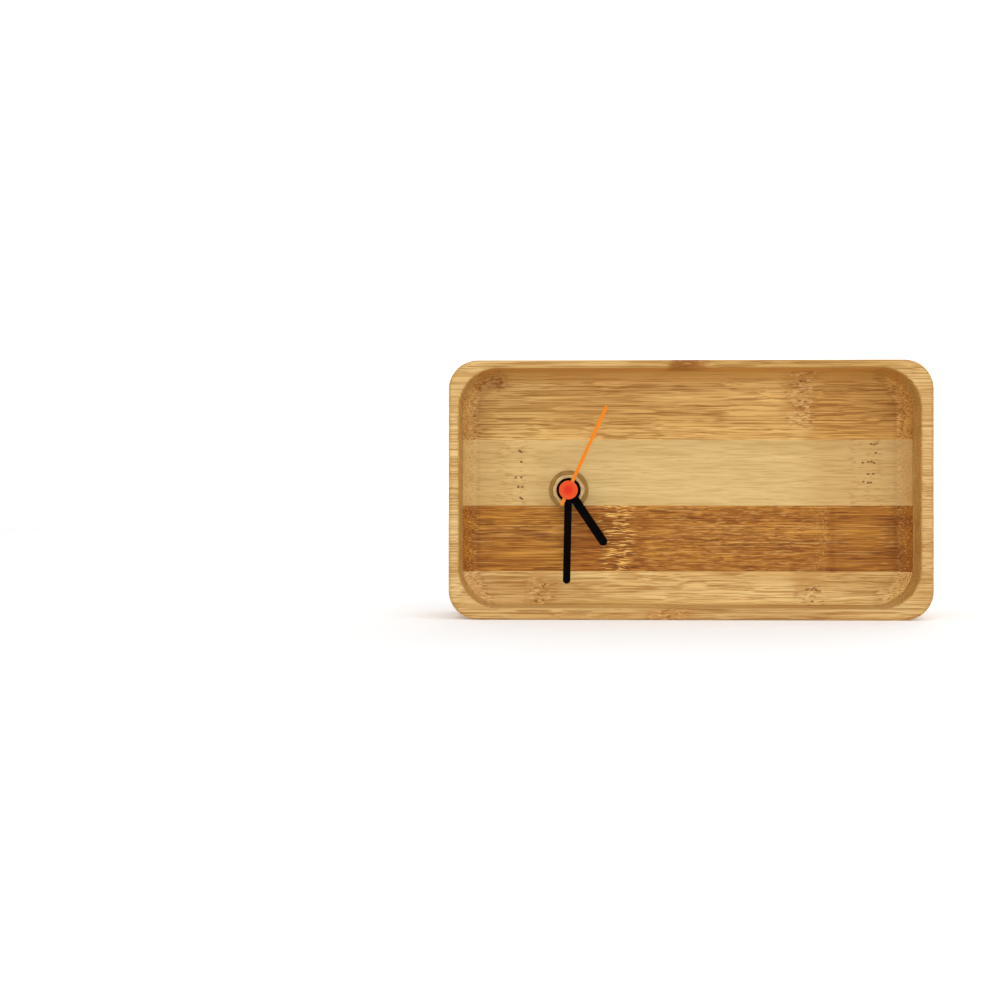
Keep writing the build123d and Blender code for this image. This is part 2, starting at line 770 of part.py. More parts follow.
with BuildPart() as chip_blob:
    blob_axis = (board_left + blob_inset, board_middle)
    add(disc(board_back_y, board_back_y + blob_height, blob_radius, blob_axis))
    fillet(chip_blob.faces().sort_by(Axis.Y)[-1].edges(), blob_round)

with BuildPart() as quartz_crystal:
    crystal_left = board_right - crystal_length - crystal_radius
    with BuildSketch(across(crystal_left, board_back_y + crystal_radius, board_middle)):
        Circle(crystal_radius)
    extrude(amount=crystal_length)

# Battery: can, filling, end disc and sleeve
with BuildPart() as battery_can:
    with BuildSketch(across(battery_left + can_wall, battery_y, battery_z)):
        Circle(can_radius)
    extrude(amount=can_right - battery_left - can_wall)
    with BuildSketch(across(can_right, battery_y, battery_z)):
        Circle(nub_radius)
    extrude(amount=nub_length)
    with BuildSketch(across(battery_left + can_wall, battery_y, battery_z)):
        Circle(can_radius - can_wall)
    extrude(amount=can_right - battery_left - 2 * can_wall, mode=Mode.SUBTRACT)

with BuildPart() as battery_core:
    with BuildSketch(across(battery_left + can_wall, battery_y, battery_z)):
        Circle(can_radius - can_wall - press_gap)
    extrude(amount=can_right - battery_left - 2 * can_wall - press_gap)

with BuildPart() as battery_end:
    with BuildSketch(across(battery_left, battery_y, battery_z)):
        Circle(can_radius - can_wall)
    extrude(amount=can_wall)

with BuildPart() as battery_jacket:
    with BuildSketch(across(battery_left + jacket_margin, battery_y, battery_z)):
        Circle(battery_diameter / 2)
        Circle(can_radius + press_gap, mode=Mode.SUBTRACT)
    extrude(amount=can_right - battery_left - 2 * jacket_margin)


def contact_leaf(side):
    """Plate on a bay's end wall with a bent leaf that reaches the battery's end."""
    wall_x = hands_axis[0] + side * inside_half
    plate_x = wall_x - side * contact_thickness
    tip_x = hands_axis[0] + side * (battery_length / 2 + contact_gap)
    bend = [
        (plate_x, battery_y - contact_half_bend),
        (tip_x, battery_y),
        (plate_x, battery_y + contact_half_bend),
        (plate_x, battery_y + contact_half_bend - contact_foot),
        (tip_x + side * contact_thickness, battery_y),
        (plate_x, battery_y - contact_half_bend + contact_foot),
    ]
    low = battery_z - contact_width / 2
    high = battery_z + contact_width / 2
    left, right = sorted((wall_x, plate_x))
    with BuildPart() as piece:
        add(slab(left, right, battery_y - contact_half_bend, riser_back_y, low, high))
        with BuildSketch(Plane.XY.offset(low)):
            with BuildLine():
                Polyline(*bend, close=True)
            make_face()
        extrude(amount=contact_width)
    return piece.part


# Battery contacts: a leaf in the bay and a strip that runs to the circuit board
with BuildPart() as contact_negative:
    add(contact_leaf(-1))
    riser_high = board_low + board_overlap
    add(slab(inside_left, board_left, riser_front_y, riser_back_y, battery_z, riser_high))

with BuildPart() as contact_positive:
    add(contact_leaf(1))
    strip_left = inside_right - contact_thickness
    add(slab(strip_left, inside_right, riser_front_y, riser_back_y, battery_z, inside_high))
    run_left = board_right - board_overlap
    add(slab(run_left, inside_right, riser_front_y, riser_back_y, board_high, inside_high))

pieces = {
    "front_frame": front_frame,
    "dial_strip_top": dial_strip_top,
    "dial_strip_light": dial_strip_light,
    "dial_strip_dark": dial_strip_dark,
    "dial_strip_bottom": dial_strip_bottom,
    "rear_block": rear_block,
    "threaded_bush": threaded_bush,
    "rubber_washer": rubber_washer,
    "washer": washer,
    "hex_nut": hex_nut,
    "movement_case": movement_case,
    "movement_cover": movement_cover,
    "wheel_pins": wheel_pins,
    "train_plate": train_plate,
    "rotor_pinion": rotor_pinion,
    "rotor_magnet": rotor_magnet,
    "first_wheel": first_wheel,
    "seconds_wheel": seconds_wheel,
    "third_wheel": third_wheel,
    "center_wheel": center_wheel,
    "minute_pinion": minute_pinion,
    "motion_wheel": motion_wheel,
    "hour_wheel": hour_wheel,
    "setting_knob": setting_knob,
    "hour_hand": hour_hand,
    "minute_hand": minute_hand,
    "second_hand": second_hand,
    "second_hand_bush": second_hand_bush,
    "stator_plates": stator_plates,
    "coil_core": coil_core,
    "coil_bobbin": coil_bobbin,
    "coil_winding": coil_winding,
    "circuit_board": circuit_board,
    "chip_blob": chip_blob,
    "quartz_crystal": quartz_crystal,
    "battery_can": battery_can,
    "battery_core": battery_core,
    "battery_end": battery_end,
    "battery_jacket": battery_jacket,
    "contact_negative": contact_negative,
    "contact_positive": contact_positive,
}

os.makedirs("parts", exist_ok=True)
for name, piece in pieces.items():
    piece.part.label = name
    export_step(piece.part, f"parts/{name}.step")
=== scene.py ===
import json
import math

import bmesh
import bpy
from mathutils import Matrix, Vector


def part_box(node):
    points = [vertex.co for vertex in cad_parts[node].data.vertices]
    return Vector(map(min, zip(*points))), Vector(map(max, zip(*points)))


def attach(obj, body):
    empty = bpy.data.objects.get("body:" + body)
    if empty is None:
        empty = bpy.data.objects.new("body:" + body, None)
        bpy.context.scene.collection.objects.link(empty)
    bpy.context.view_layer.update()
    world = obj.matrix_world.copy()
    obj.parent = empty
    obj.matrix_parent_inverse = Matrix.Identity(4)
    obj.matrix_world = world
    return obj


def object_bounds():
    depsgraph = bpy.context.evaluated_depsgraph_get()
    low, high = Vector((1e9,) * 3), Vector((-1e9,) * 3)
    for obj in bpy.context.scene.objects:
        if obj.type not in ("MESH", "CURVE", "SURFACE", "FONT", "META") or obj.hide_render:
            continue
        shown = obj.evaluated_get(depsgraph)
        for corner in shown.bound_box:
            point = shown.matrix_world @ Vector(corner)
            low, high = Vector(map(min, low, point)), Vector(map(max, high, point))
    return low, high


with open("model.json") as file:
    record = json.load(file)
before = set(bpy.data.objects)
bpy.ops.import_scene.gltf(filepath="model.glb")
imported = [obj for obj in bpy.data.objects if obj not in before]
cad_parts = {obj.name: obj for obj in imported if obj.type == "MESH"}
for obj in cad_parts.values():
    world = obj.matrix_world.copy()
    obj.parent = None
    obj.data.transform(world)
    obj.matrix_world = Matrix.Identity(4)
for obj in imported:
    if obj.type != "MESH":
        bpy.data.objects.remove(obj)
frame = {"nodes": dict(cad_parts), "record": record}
cad_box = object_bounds()
nodes = frame["nodes"]

# Lengths are metres in the scene. Materials work in millimetres, from object coordinates.
MM = 0.001
WHITE = (1.0, 1.0, 1.0, 1.0)

block_low = Vector(cad_box[0])
block_high = Vector(cad_box[1])
front_y = block_low.y
middle_z = (block_low.z + block_high.z) / 2


def middle_of(node):
    """Middle of a CAD node's box."""
    low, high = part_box(node)
    return (low + high) / 2


hands = middle_of("washer")
knob = middle_of("setting_knob")


def srgb(red, green, blue):
    """Linear colour from 0 to 255 display values."""
    def linear(value):
        share = value / 255
        if share <= 0.04045:
            return share / 12.92
        return ((share + 0.055) / 1.055) ** 2.4
    return (linear(red), linear(green), linear(blue), 1.0)


class Shader:
    """One material's node tree, with short calls for the nodes that the finishes use."""

    def __init__(self, name):
        self.material = bpy.data.materials.new(name)
        self.material.use_nodes = True
        self.tree = self.material.node_tree
        self.surface = self.tree.nodes["Principled BSDF"]
        self.texture_space = None

    def node(self, kind, **settings):
        made = self.tree.nodes.new(kind)
        for key, value in settings.items():
            setattr(made, key, value)
        return made

    def put(self, socket, value):
        """Links a socket, or sets a constant on it."""
        if isinstance(value, bpy.types.NodeSocket):
            self.tree.links.new(value, socket)
        else:
            socket.default_value = value

    def split(self, vector):
        """A vector's x, y and z."""
        parts = self.node("ShaderNodeSeparateXYZ")
        self.put(parts.inputs[0], vector)
        return parts.outputs[0], parts.outputs[1], parts.outputs[2]

    def point(self):
        """Object coordinates in millimetres, as x, y and z."""
        if self.texture_space is None:
            scaled = self.node("ShaderNodeVectorMath", operation="SCALE")
            self.put(scaled.inputs[0], self.node("ShaderNodeTexCoord").outputs["Object"])
            scaled.inputs["Scale"].default_value = 1 / MM
            self.texture_space = self.split(scaled.outputs[0])
        return self.texture_space

    def normal(self):
        """Direction of the face, as x, y and z."""
        return self.split(self.node("ShaderNodeNewGeometry").outputs["Normal"])

    def math(self, operation, first, second=0.0):
        made = self.node("ShaderNodeMath", operation=operation)
        self.put(made.inputs[0], first)
        self.put(made.inputs[1], second)
        return made.outputs[0]

    def times(self, first, second):
        return self.math("MULTIPLY", first, second)

    def plus(self, first, second):
        return self.math("ADD", first, second)

    def minus(self, first, second):
        return self.math("SUBTRACT", first, second)

    def step(self, value, start, end, low=0.0, high=1.0):
        """Smooth step from low at start to high at end."""
        made = self.node("ShaderNodeMapRange", interpolation_type="SMOOTHSTEP")
        self.put(made.inputs["Value"], value)
        made.inputs["From Min"].default_value = start
        made.inputs["From Max"].default_value = end
        made.inputs["To Min"].default_value = low
        made.inputs["To Max"].default_value = high
        return made.outputs[0]

    def band(self, value, middle, half, soft):
        """One within half of the middle, fading to zero over the soft distance."""
        away = self.math("ABSOLUTE", self.minus(value, middle))
        return self.step(away, half + soft, half)

    def vector(self, x, y, z):
        made = self.node("ShaderNodeCombineXYZ")
        self.put(made.inputs[0], x)
        self.put(made.inputs[1], y)
        self.put(made.inputs[2], z)
        return made.outputs[0]

    def scaled(self, x_rate, y_rate, z_rate):
        """Point with so many cycles per millimetre along X, Y and Z."""
        x, y, z = self.point()
        return self.vector(self.times(x, x_rate), self.times(y, y_rate), self.times(z, z_rate))

    def stretched(self, along, across, shift):
        """Point with so many cycles per millimetre along X and across it, shifted along X."""
        x, y, z = self.point()
        moved_x = self.plus(self.times(x, along), shift)
        return self.vector(moved_x, self.times(y, across), self.times(z, across))

    def from_axis(self, axis):
        """Distance in millimetres from an axis along Y through a place."""
        x, _, z = self.point()
        aside = self.minus(x, axis.x / MM)
        above = self.minus(z, axis.z / MM)
        return self.math("SQRT", self.plus(self.times(aside, aside), self.times(above, above)))

    def noise(self, vector, detail=2.0, roughness=0.5):
        made = self.node("ShaderNodeTexNoise")
        self.put(made.inputs["Vector"], vector)
        made.inputs["Scale"].default_value = 1.0
        made.inputs["Detail"].default_value = detail
        made.inputs["Roughness"].default_value = roughness
        return made.outputs[0]

    def sway(self, vector, amount, detail, roughness=0.5):
        """Noise about zero, times an amount."""
        return self.times(self.minus(self.noise(vector, detail, roughness), 0.5), amount)

    def cells(self, vector, randomness=1.0):
        made = self.node("ShaderNodeTexVoronoi", voronoi_dimensions="2D")
        self.put(made.inputs["Vector"], vector)
        made.inputs["Scale"].default_value = 1.0
        made.inputs["Randomness"].default_value = randomness
        return made

    def mix(self, share, first, second, blend="MIX"):
        made = self.node("ShaderNodeMix", data_type="RGBA", blend_type=blend)
        self.put(made.inputs[0], share)
        self.put(made.inputs[6], first)
        self.put(made.inputs[7], second)
        return made.outputs[2]

    def multiply(self, colour, tint):
        return self.mix(1.0, colour, tint, "MULTIPLY")

    def shaded(self, colour, shade):
        """Colour times a grey value."""
        return self.multiply(colour, self.vector(shade, shade, shade))

    def bump(self, height, depth_mm, strength):
        made = self.node("ShaderNodeBump")
        self.put(made.inputs["Height"], height)
        made.inputs["Distance"].default_value = depth_mm * MM
        made.inputs["Strength"].default_value = strength
        self.put(self.surface.inputs["Normal"], made.outputs[0])

    def finish(self, **sockets):
        """Sets the surface's own sockets by their names, with _ for a space."""
        for key, value in sockets.items():
            self.put(self.surface.inputs[key.replace("_", " ")], value)
        return self.material


# Bamboo: fibre bundles run along X, so they show as streaks on long faces and as dots on end grain.
# Rates are cycles per millimetre, along the fibres and then across them. Seeds keep the noises apart.

PORE = srgb(78, 44, 16)
PALE_FIBRE = srgb(222, 176, 106)

DRIFT_RATE, SWAY_RATE = (0.050, 0.09), (0.040, 0.09)
DRIFT_MM = 2.2
DARK_PER_MM, PALE_PER_MM = 1.5, 1.2
BUNDLE_DEPTH = 0.7
BUNDLE_EDGE, BUNDLE_CORE = 0.32, 0.16
HAIR_STRETCH, HAIR_ACROSS, HAIR_LIMITS = 0.6, 2.0, (0.57, 0.63)
DASH_STRETCH, DASH_ACROSS, DASH_LIMITS = 2.2, 1.9, (0.59, 0.65)
BROAD_RATE, BROAD_LIMITS = (0.012, 0.20), (0.32, 0.68)
PATCH_RATE, PATCH_LIMITS = (0.045, 0.35), (0.36, 0.66)
PATCH_WEAK, PATCH_STRONG = 0.22, 0.66
SWAY_SEED, PALE_SEED, HAIR_SEED, DASH_SEED, BROAD_SEED, PATCH_SEED = 31.0, 17.0, 5.0, 9.0, 7.0, 13.0

# How far the grain darkens and lightens the red, green and blue of a board
GRAIN_DEEP = (0.23, 0.31, 0.43)
GRAIN_PALE = (0.17, 0.22, 0.29)

# End grain begins and is full where the face's direction has this much of X, with a cut edge between
END_START, END_FULL = 0.10, 0.50
END_DARK, END_PALE = 0.5, 0.2
CUT_MIDDLE, CUT_HALF, CUT_SOFT = 0.12, 0.05, 0.10
CUT_BUNDLES, CUT_BETWEEN = 0.6, 0.20

# Glue lines between the block's three layers
SEAMS_Y = tuple(corner.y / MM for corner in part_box("dial_strip_top"))
SEAM_HALF, SEAM_SOFT, SEAM_SHARE = 0.05, 0.10, 0.45
SEAM_GLUE = srgb(96, 58, 24)


def moved_across(shader, seed, sway_mm):
    """Depth and height of a point, swayed slowly along the board."""
    _, y, z = shader.point()
    drift = shader.sway(shader.stretched(*DRIFT_RATE, seed), DRIFT_MM, detail=1.0)
    sway = shader.sway(shader.stretched(*SWAY_RATE, seed + SWAY_SEED), sway_mm, detail=1.0)
    return shader.plus(y, drift), shader.plus(z, sway)


def bundles(shader, moved_y, moved_z, shift, per_mm):
    """Fibre bundles, from 0 to 1, each with its own strength."""
    depth = shader.plus(shader.times(moved_y, per_mm * BUNDLE_DEPTH), shift)
    found = shader.cells(shader.vector(depth, shader.times(moved_z, per_mm), 0.0))
    own = shader.split(found.outputs["Color"])[0]
    return shader.times(shader.step(found.outputs["Distance"], BUNDLE_EDGE, BUNDLE_CORE), own)


def fibre_marks(shader, seed, sway_mm, grain):
    """Dark bundles, pale bundles, thin dark hairs and fine grain of a board, each from 0 to 1."""
    x = shader.point()[0]
    moved_y, moved_z = moved_across(shader, seed, sway_mm)
    along, across = grain

    def fibres(shift, x_rate, rate, detail, roughness):
        moved_x = shader.plus(shader.times(x, x_rate), seed + shift)
        place = shader.vector(moved_x, shader.times(moved_y, rate), shader.times(moved_z, rate))
        return shader.noise(place, detail, roughness)

    dark = bundles(shader, moved_y, moved_z, seed, DARK_PER_MM)
    pale = bundles(shader, moved_y, moved_z, seed + PALE_SEED, PALE_PER_MM)
    fine = fibres(0.0, along, across, detail=2.0, roughness=0.6)
    long_hairs = fibres(HAIR_SEED, along * HAIR_STRETCH, HAIR_ACROSS, detail=1.0, roughness=0.5)
    dashes = fibres(DASH_SEED, along * DASH_STRETCH, DASH_ACROSS, detail=1.0, roughness=0.5)
    hairs = shader.math(
        "MAXIMUM", shader.step(long_hairs, *HAIR_LIMITS), shader.step(dashes, *DASH_LIMITS)
    )
    return dark, pale, hairs, fine


def board_colour(shader, marks, tones, seed, contrast, pale_share, lean):
    """Colour of a board's long faces, before its local marks."""
    dark_lines, pale_lines, hairs, fine = marks
    pale, deep, streak = tones
    broad = shader.noise(shader.stretched(*BROAD_RATE, seed + BROAD_SEED), detail=3.0, roughness=0.55)
    colour = shader.mix(shader.step(broad, *BROAD_LIMITS), pale, deep)
    colour = shader.mix(shader.times(pale_lines, pale_share), colour, PALE_FIBRE)
    patches = shader.noise(shader.stretched(*PATCH_RATE, seed + PATCH_SEED), detail=2.0)
    dark_here = shader.step(patches, *PATCH_LIMITS, PATCH_WEAK * contrast, PATCH_STRONG * contrast)
    for lines in (dark_lines, hairs):
        colour = shader.mix(shader.times(lines, dark_here), colour, streak)
    deep_grain = [1.0 - share * contrast * (1.0 + lean) for share in GRAIN_DEEP]
    pale_grain = [1.0 + share * contrast * (1.0 - lean) for share in GRAIN_PALE]
    spread = shader.step(fine, 0.40 - 0.1 * lean, 0.60 - 0.2 * lean)
    return shader.multiply(colour, shader.mix(spread, (*deep_grain, 1.0), (*pale_grain, 1.0)))


def end_grain(shader, colour, marks, streak, end_tone):
    """Adds the tone and the dots of a board's cut ends."""
    dark_lines, pale_lines = marks[:2]
    facing = shader.math("ABSOLUTE", shader.normal()[0])
    end = shader.step(facing, END_START, END_FULL)
    cut = shader.band(facing, CUT_MIDDLE, CUT_HALF, CUT_SOFT)
    cut_dark = shader.plus(shader.times(dark_lines, CUT_BUNDLES), CUT_BETWEEN)
    colour = shader.mix(shader.times(cut, cut_dark), colour, streak)
    colour = shader.mix(end, colour, shader.multiply(colour, (*end_tone, 1.0)))
    colour = shader.mix(shader.times(shader.times(dark_lines, end), END_DARK), colour, streak)
    return shader.mix(shader.times(shader.times(pale_lines, end), END_PALE), colour, PALE_FIBRE)


def bamboo(name, pale, deep, streak, seed, contrast, pale_share, sway_mm=0.6, grain=(0.042, 1.9), lean=0.3,
           end_tone=(0.97, 0.91, 0.84), extras=()):
    """Bamboo board, with so many grain cycles per millimetre along the fibres and across them.

    A positive lean makes the grain thin dark lines, and a negative one thin pale lines.
    Each extra paints one local mark over the colour and returns the new colour.
    """
    shader = Shader(name)
    marks = fibre_marks(shader, seed, sway_mm, grain)
    dark_lines, fine = marks[0], marks[-1]
    colour = board_colour(shader, marks, (pale, deep, streak), seed, contrast, pale_share, lean)
    for paint in extras:
        colour = paint(shader, colour, fine)
    colour = end_grain(shader, colour, marks, streak, end_tone)
    y = shader.point()[1]
    for seam in SEAMS_Y:
        line = shader.times(shader.band(y, seam, SEAM_HALF, SEAM_SOFT), SEAM_SHARE)
        colour = shader.mix(line, colour, SEAM_GLUE)
    shader.bump(shader.plus(shader.times(dark_lines, -0.6), fine), depth_mm=0.05, strength=0.45)
    gloss = shader.step(fine, 0.2, 0.8, low=0.55, high=0.43)
    return shader.finish(Base_Color=colour, Roughness=gloss, Specular_IOR_Level=0.18)


# Local marks of the bamboo. Places are millimetres, x along the board and z up; soft is an edge's fade.

NARROWEST = 0.05
WOBBLE_RATE = (0.08, 0.3, 0.55)
WAVE_RATE = (0.30, 0.2, 0.16)
KNUCKLE_AND_SHADE_SOFT, TONE_SOFT, WALL_SOFT, WALL_END_SOFT = 1.0, 3.0, 0.6, 6.0
FLECK_DEPTH_RATE, FLECK_EDGE, FLECK_WOBBLE = 0.8, 0.08, 8.0
PORE_EDGE, PORE_CORE, PORE_UNEVEN, FAR = 1.1, 0.5, 0.9, 99.0
GLUE_EDGE, GLUE_CORE, GLUE_SHARE = 0.20, 0.05, 0.35
GLUE = srgb(110, 66, 28)


def soft_range(shader, value, low, high, soft):
    """One between two values, with soft edges."""
    half = max((high - low) / 2 - soft / 2, NARROWEST)
    return shader.band(value, (low + high) / 2, half, soft)


def stretch_mask(shader, x_start, x_end, soft, wobble, seed):
    """One between two places along the board, with edges that wobble with height and depth."""
    x, y, z = shader.point()
    depth = shader.plus(shader.times(y, WOBBLE_RATE[1]), seed)
    place = shader.vector(shader.times(x, WOBBLE_RATE[0]), depth, shader.times(z, WOBBLE_RATE[2]))
    moved_x = shader.plus(x, shader.sway(place, wobble, detail=3.0, roughness=0.65))
    return soft_range(shader, moved_x, x_start, x_end, soft)


def height_mask(shader, z_low, z_high, soft):
    """One between two heights."""
    return soft_range(shader, shader.point()[2], z_low, z_high, soft)


def knuckle_and_shade_band(x_start, x_end, z_low, z_high, tint, share, soft=6.0, wobble=12.0):
    """Growth ring of the cane, and also a band of painted shade: an uneven streaky tint between two places
    and two heights.
    """
    def paint(shader, colour, fine):
        stretch = stretch_mask(shader, x_start, x_end, soft, wobble, x_start)
        ring = shader.times(stretch, height_mask(shader, z_low, z_high, KNUCKLE_AND_SHADE_SOFT))
        streaky = shader.step(fine, 0.30, 0.62, low=0.35)
        return shader.mix(shader.times(shader.times(ring, streaky), share), colour, tint)
    return paint


def pores(places, size, share):
    """Dark pores of a growth ring, at places given as x and z, with a width and a height."""
    wide, high = size

    def paint(shader, colour, fine):
        x, _, z = shader.point()
        scaled = shader.vector(shader.times(x, 1 / wide), shader.times(z, 1 / high), 0.0)
        nearest = FAR
        for place_x, place_z in places:
            away = shader.node("ShaderNodeVectorMath", operation="DISTANCE")
            shader.put(away.inputs[0], scaled)
            away.inputs[1].default_value = (place_x / wide, place_z / high, 0.0)
            nearest = shader.math("MINIMUM", away.outputs["Value"], nearest)
        uneven = shader.plus(nearest, shader.times(shader.minus(fine, 0.5), PORE_UNEVEN))
        return shader.mix(shader.times(shader.step(uneven, PORE_EDGE, PORE_CORE), share), colour, PORE)
    return paint


def tone_between(x_start, x_end, soft, z_low, z_high, tint, share, wobble=14.0):
    """Stretch of a strip with another tone, between two heights."""
    def paint(shader, colour, fine):
        stretch = stretch_mask(shader, x_start, x_end, soft, wobble, x_end)
        area = shader.times(stretch, height_mask(shader, z_low, z_high, TONE_SOFT))
        return shader.mix(shader.times(area, share), colour, shader.multiply(colour, tint))
    return paint


def wall_painted_shade(half_length, z_low, z_high, y_front, tint, share):
    """Painted shade on the recess wall: an even tone behind the front face, between two heights, off the
    block's ends.
    """
    def paint(shader, colour, fine):
        x, y, _ = shader.point()
        behind = shader.step(y, y_front, y_front + WALL_SOFT)
        area = shader.times(behind, height_mask(shader, z_low, z_high, WALL_SOFT))
        area = shader.times(area, shader.band(x, 0.0, half_length, WALL_END_SOFT))
        return shader.mix(shader.times(area, share), colour, tint)
    return paint


def flecks(x_start, x_end, soft, share, length_mm, wave_mm, tint, per_mm, least, z_low=-20.0, z_high=120.0):
    """Short fibres that wave together, over a stretch of a strip and between two heights."""
    def paint(shader, colour, fine):
        x, y, z = shader.point()
        wave = shader.sway(shader.scaled(*WAVE_RATE), wave_mm, detail=1.5)
        along = shader.plus(shader.times(x, 1 / length_mm), x_end)
        across = shader.times(shader.plus(z, wave), per_mm)
        place = shader.vector(along, shader.times(y, FLECK_DEPTH_RATE), across)
        shown = shader.step(shader.noise(place, detail=1.0), least, least + FLECK_EDGE)
        stretch = stretch_mask(shader, x_start, x_end, soft, FLECK_WOBBLE, x_start)
        area = shader.times(stretch, height_mask(shader, z_low, z_high, TONE_SOFT))
        return shader.mix(shader.times(shader.times(shown, area), share), colour, tint)
    return paint


def board_strips(width_mm, start_mm, spread):
    """Tone that changes from one glued strip of a board to the next, with a thin glue line."""
    def paint(shader, colour, fine):
        place = shader.math("DIVIDE", shader.minus(shader.point()[2], start_mm), width_mm)
        chance = shader.node("ShaderNodeTexWhiteNoise", noise_dimensions="1D")
        shader.put(chance.inputs["W"], shader.math("FLOOR", place))
        tone = shader.step(chance.outputs["Value"], 0.0, 1.0, 1.0 - spread, 1.0 + spread)
        from_middle = shader.math("ABSOLUTE", shader.minus(shader.math("FRACT", place), 0.5))
        glue = shader.step(from_middle, 0.5 - GLUE_EDGE / width_mm, 0.5 - GLUE_CORE / width_mm)
        return shader.mix(shader.times(glue, GLUE_SHARE), shader.shaded(colour, tone), GLUE)
    return paint


def heights(node):
    """Lowest and highest millimetre of a CAD node."""
    low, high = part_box(node)
    return low.z / MM, high.z / MM


def front_bamboo():
    """Front layer: warm along its top and bottom, with a growth ring on each; the warm top also runs over the
    recess's top wall as painted shade, that wall gets more painted shade, the right end gets painted shade
    and the left end painted light.
    """
    top = block_high.z / MM
    left, right = block_low.x / MM, block_high.x / MM
    warm = (0.84, 0.75, 0.60, 1.0)
    return bamboo(
        "bamboo_front", pale=srgb(214, 180, 121), deep=srgb(200, 161, 98), streak=srgb(156, 98, 40), seed=2.0,
        contrast=0.85, pale_share=0.30, sway_mm=0.2, grain=(0.014, 2.0), end_tone=(0.86, 0.78, 0.62),
        extras=[
            # Warm top: the rim's own tone, and painted shade where it runs over the recess's top wall
            tone_between(-66.0, 70.0, soft=14.0, z_low=top - 14.0, z_high=top + 8.0,
                         tint=(0.86, 0.79, 0.64, 1.0), share=0.95),
            # Painted shade: an even, darker orange tone on the recess's top wall, which faces down away from
            # the light
            wall_painted_shade(half_length=right - 12.0, z_low=top - 14.0, z_high=top - 1.9,
                      y_front=front_y / MM + 0.8, tint=srgb(204, 142, 60), share=0.7),
            knuckle_and_shade_band(-7.0, 2.0, z_low=top - 2.7, z_high=top + 6.0, tint=srgb(142, 84, 14), share=1.0, soft=2.5,
                    wobble=10.0),
            knuckle_and_shade_band(-6.5, 1.5, z_low=top - 2.7, z_high=top + 6.0, tint=srgb(124, 64, 4), share=0.5, soft=2.5,
                    wobble=10.0),
            knuckle_and_shade_band(1.5, 6.0, z_low=top - 2.7, z_high=top + 6.0, tint=srgb(150, 86, 28), share=0.75, soft=3.0,
                    wobble=6.0),
            flecks(-5.0, 6.5, soft=3.0, share=0.5, length_mm=1.8, wave_mm=0.8, tint=srgb(210, 160, 92),
                   per_mm=1.8, least=0.56, z_low=top - 2.0, z_high=top + 6.0),
            tone_between(-56.0, 60.0, soft=30.0, z_low=-6.0, z_high=10.0, tint=warm, share=0.60),
            knuckle_and_shade_band(-16.0, 2.0, z_low=-4.0, z_high=3.6, tint=srgb(176, 112, 46), share=0.55, soft=8.0,
                    wobble=16.0),
            flecks(-14.0, 0.0, soft=6.0, share=0.75, length_mm=2.6, wave_mm=1.8, tint=srgb(140, 84, 30),
                   per_mm=1.7, least=0.54, z_low=-6.0, z_high=3.8),
            flecks(-14.0, -2.0, soft=6.0, share=0.6, length_mm=2.4, wave_mm=1.8, tint=srgb(232, 190, 122),
                   per_mm=1.7, least=0.55, z_low=-6.0, z_high=3.8),
            # Painted shade on the right end and its recess wall, painted light on the left end and its wall
            tone_between(right - 7.0, right + 4.0, soft=2.0, z_low=-4.0, z_high=top + 4.0,
                         tint=(0.95, 0.90, 0.84, 1.0), share=0.8),
            tone_between(left - 4.0, left + 8.0, soft=2.0, z_low=-4.0, z_high=top + 4.0,
                         tint=(1.01, 1.03, 1.04, 1.0), share=0.8),
        ],
    )


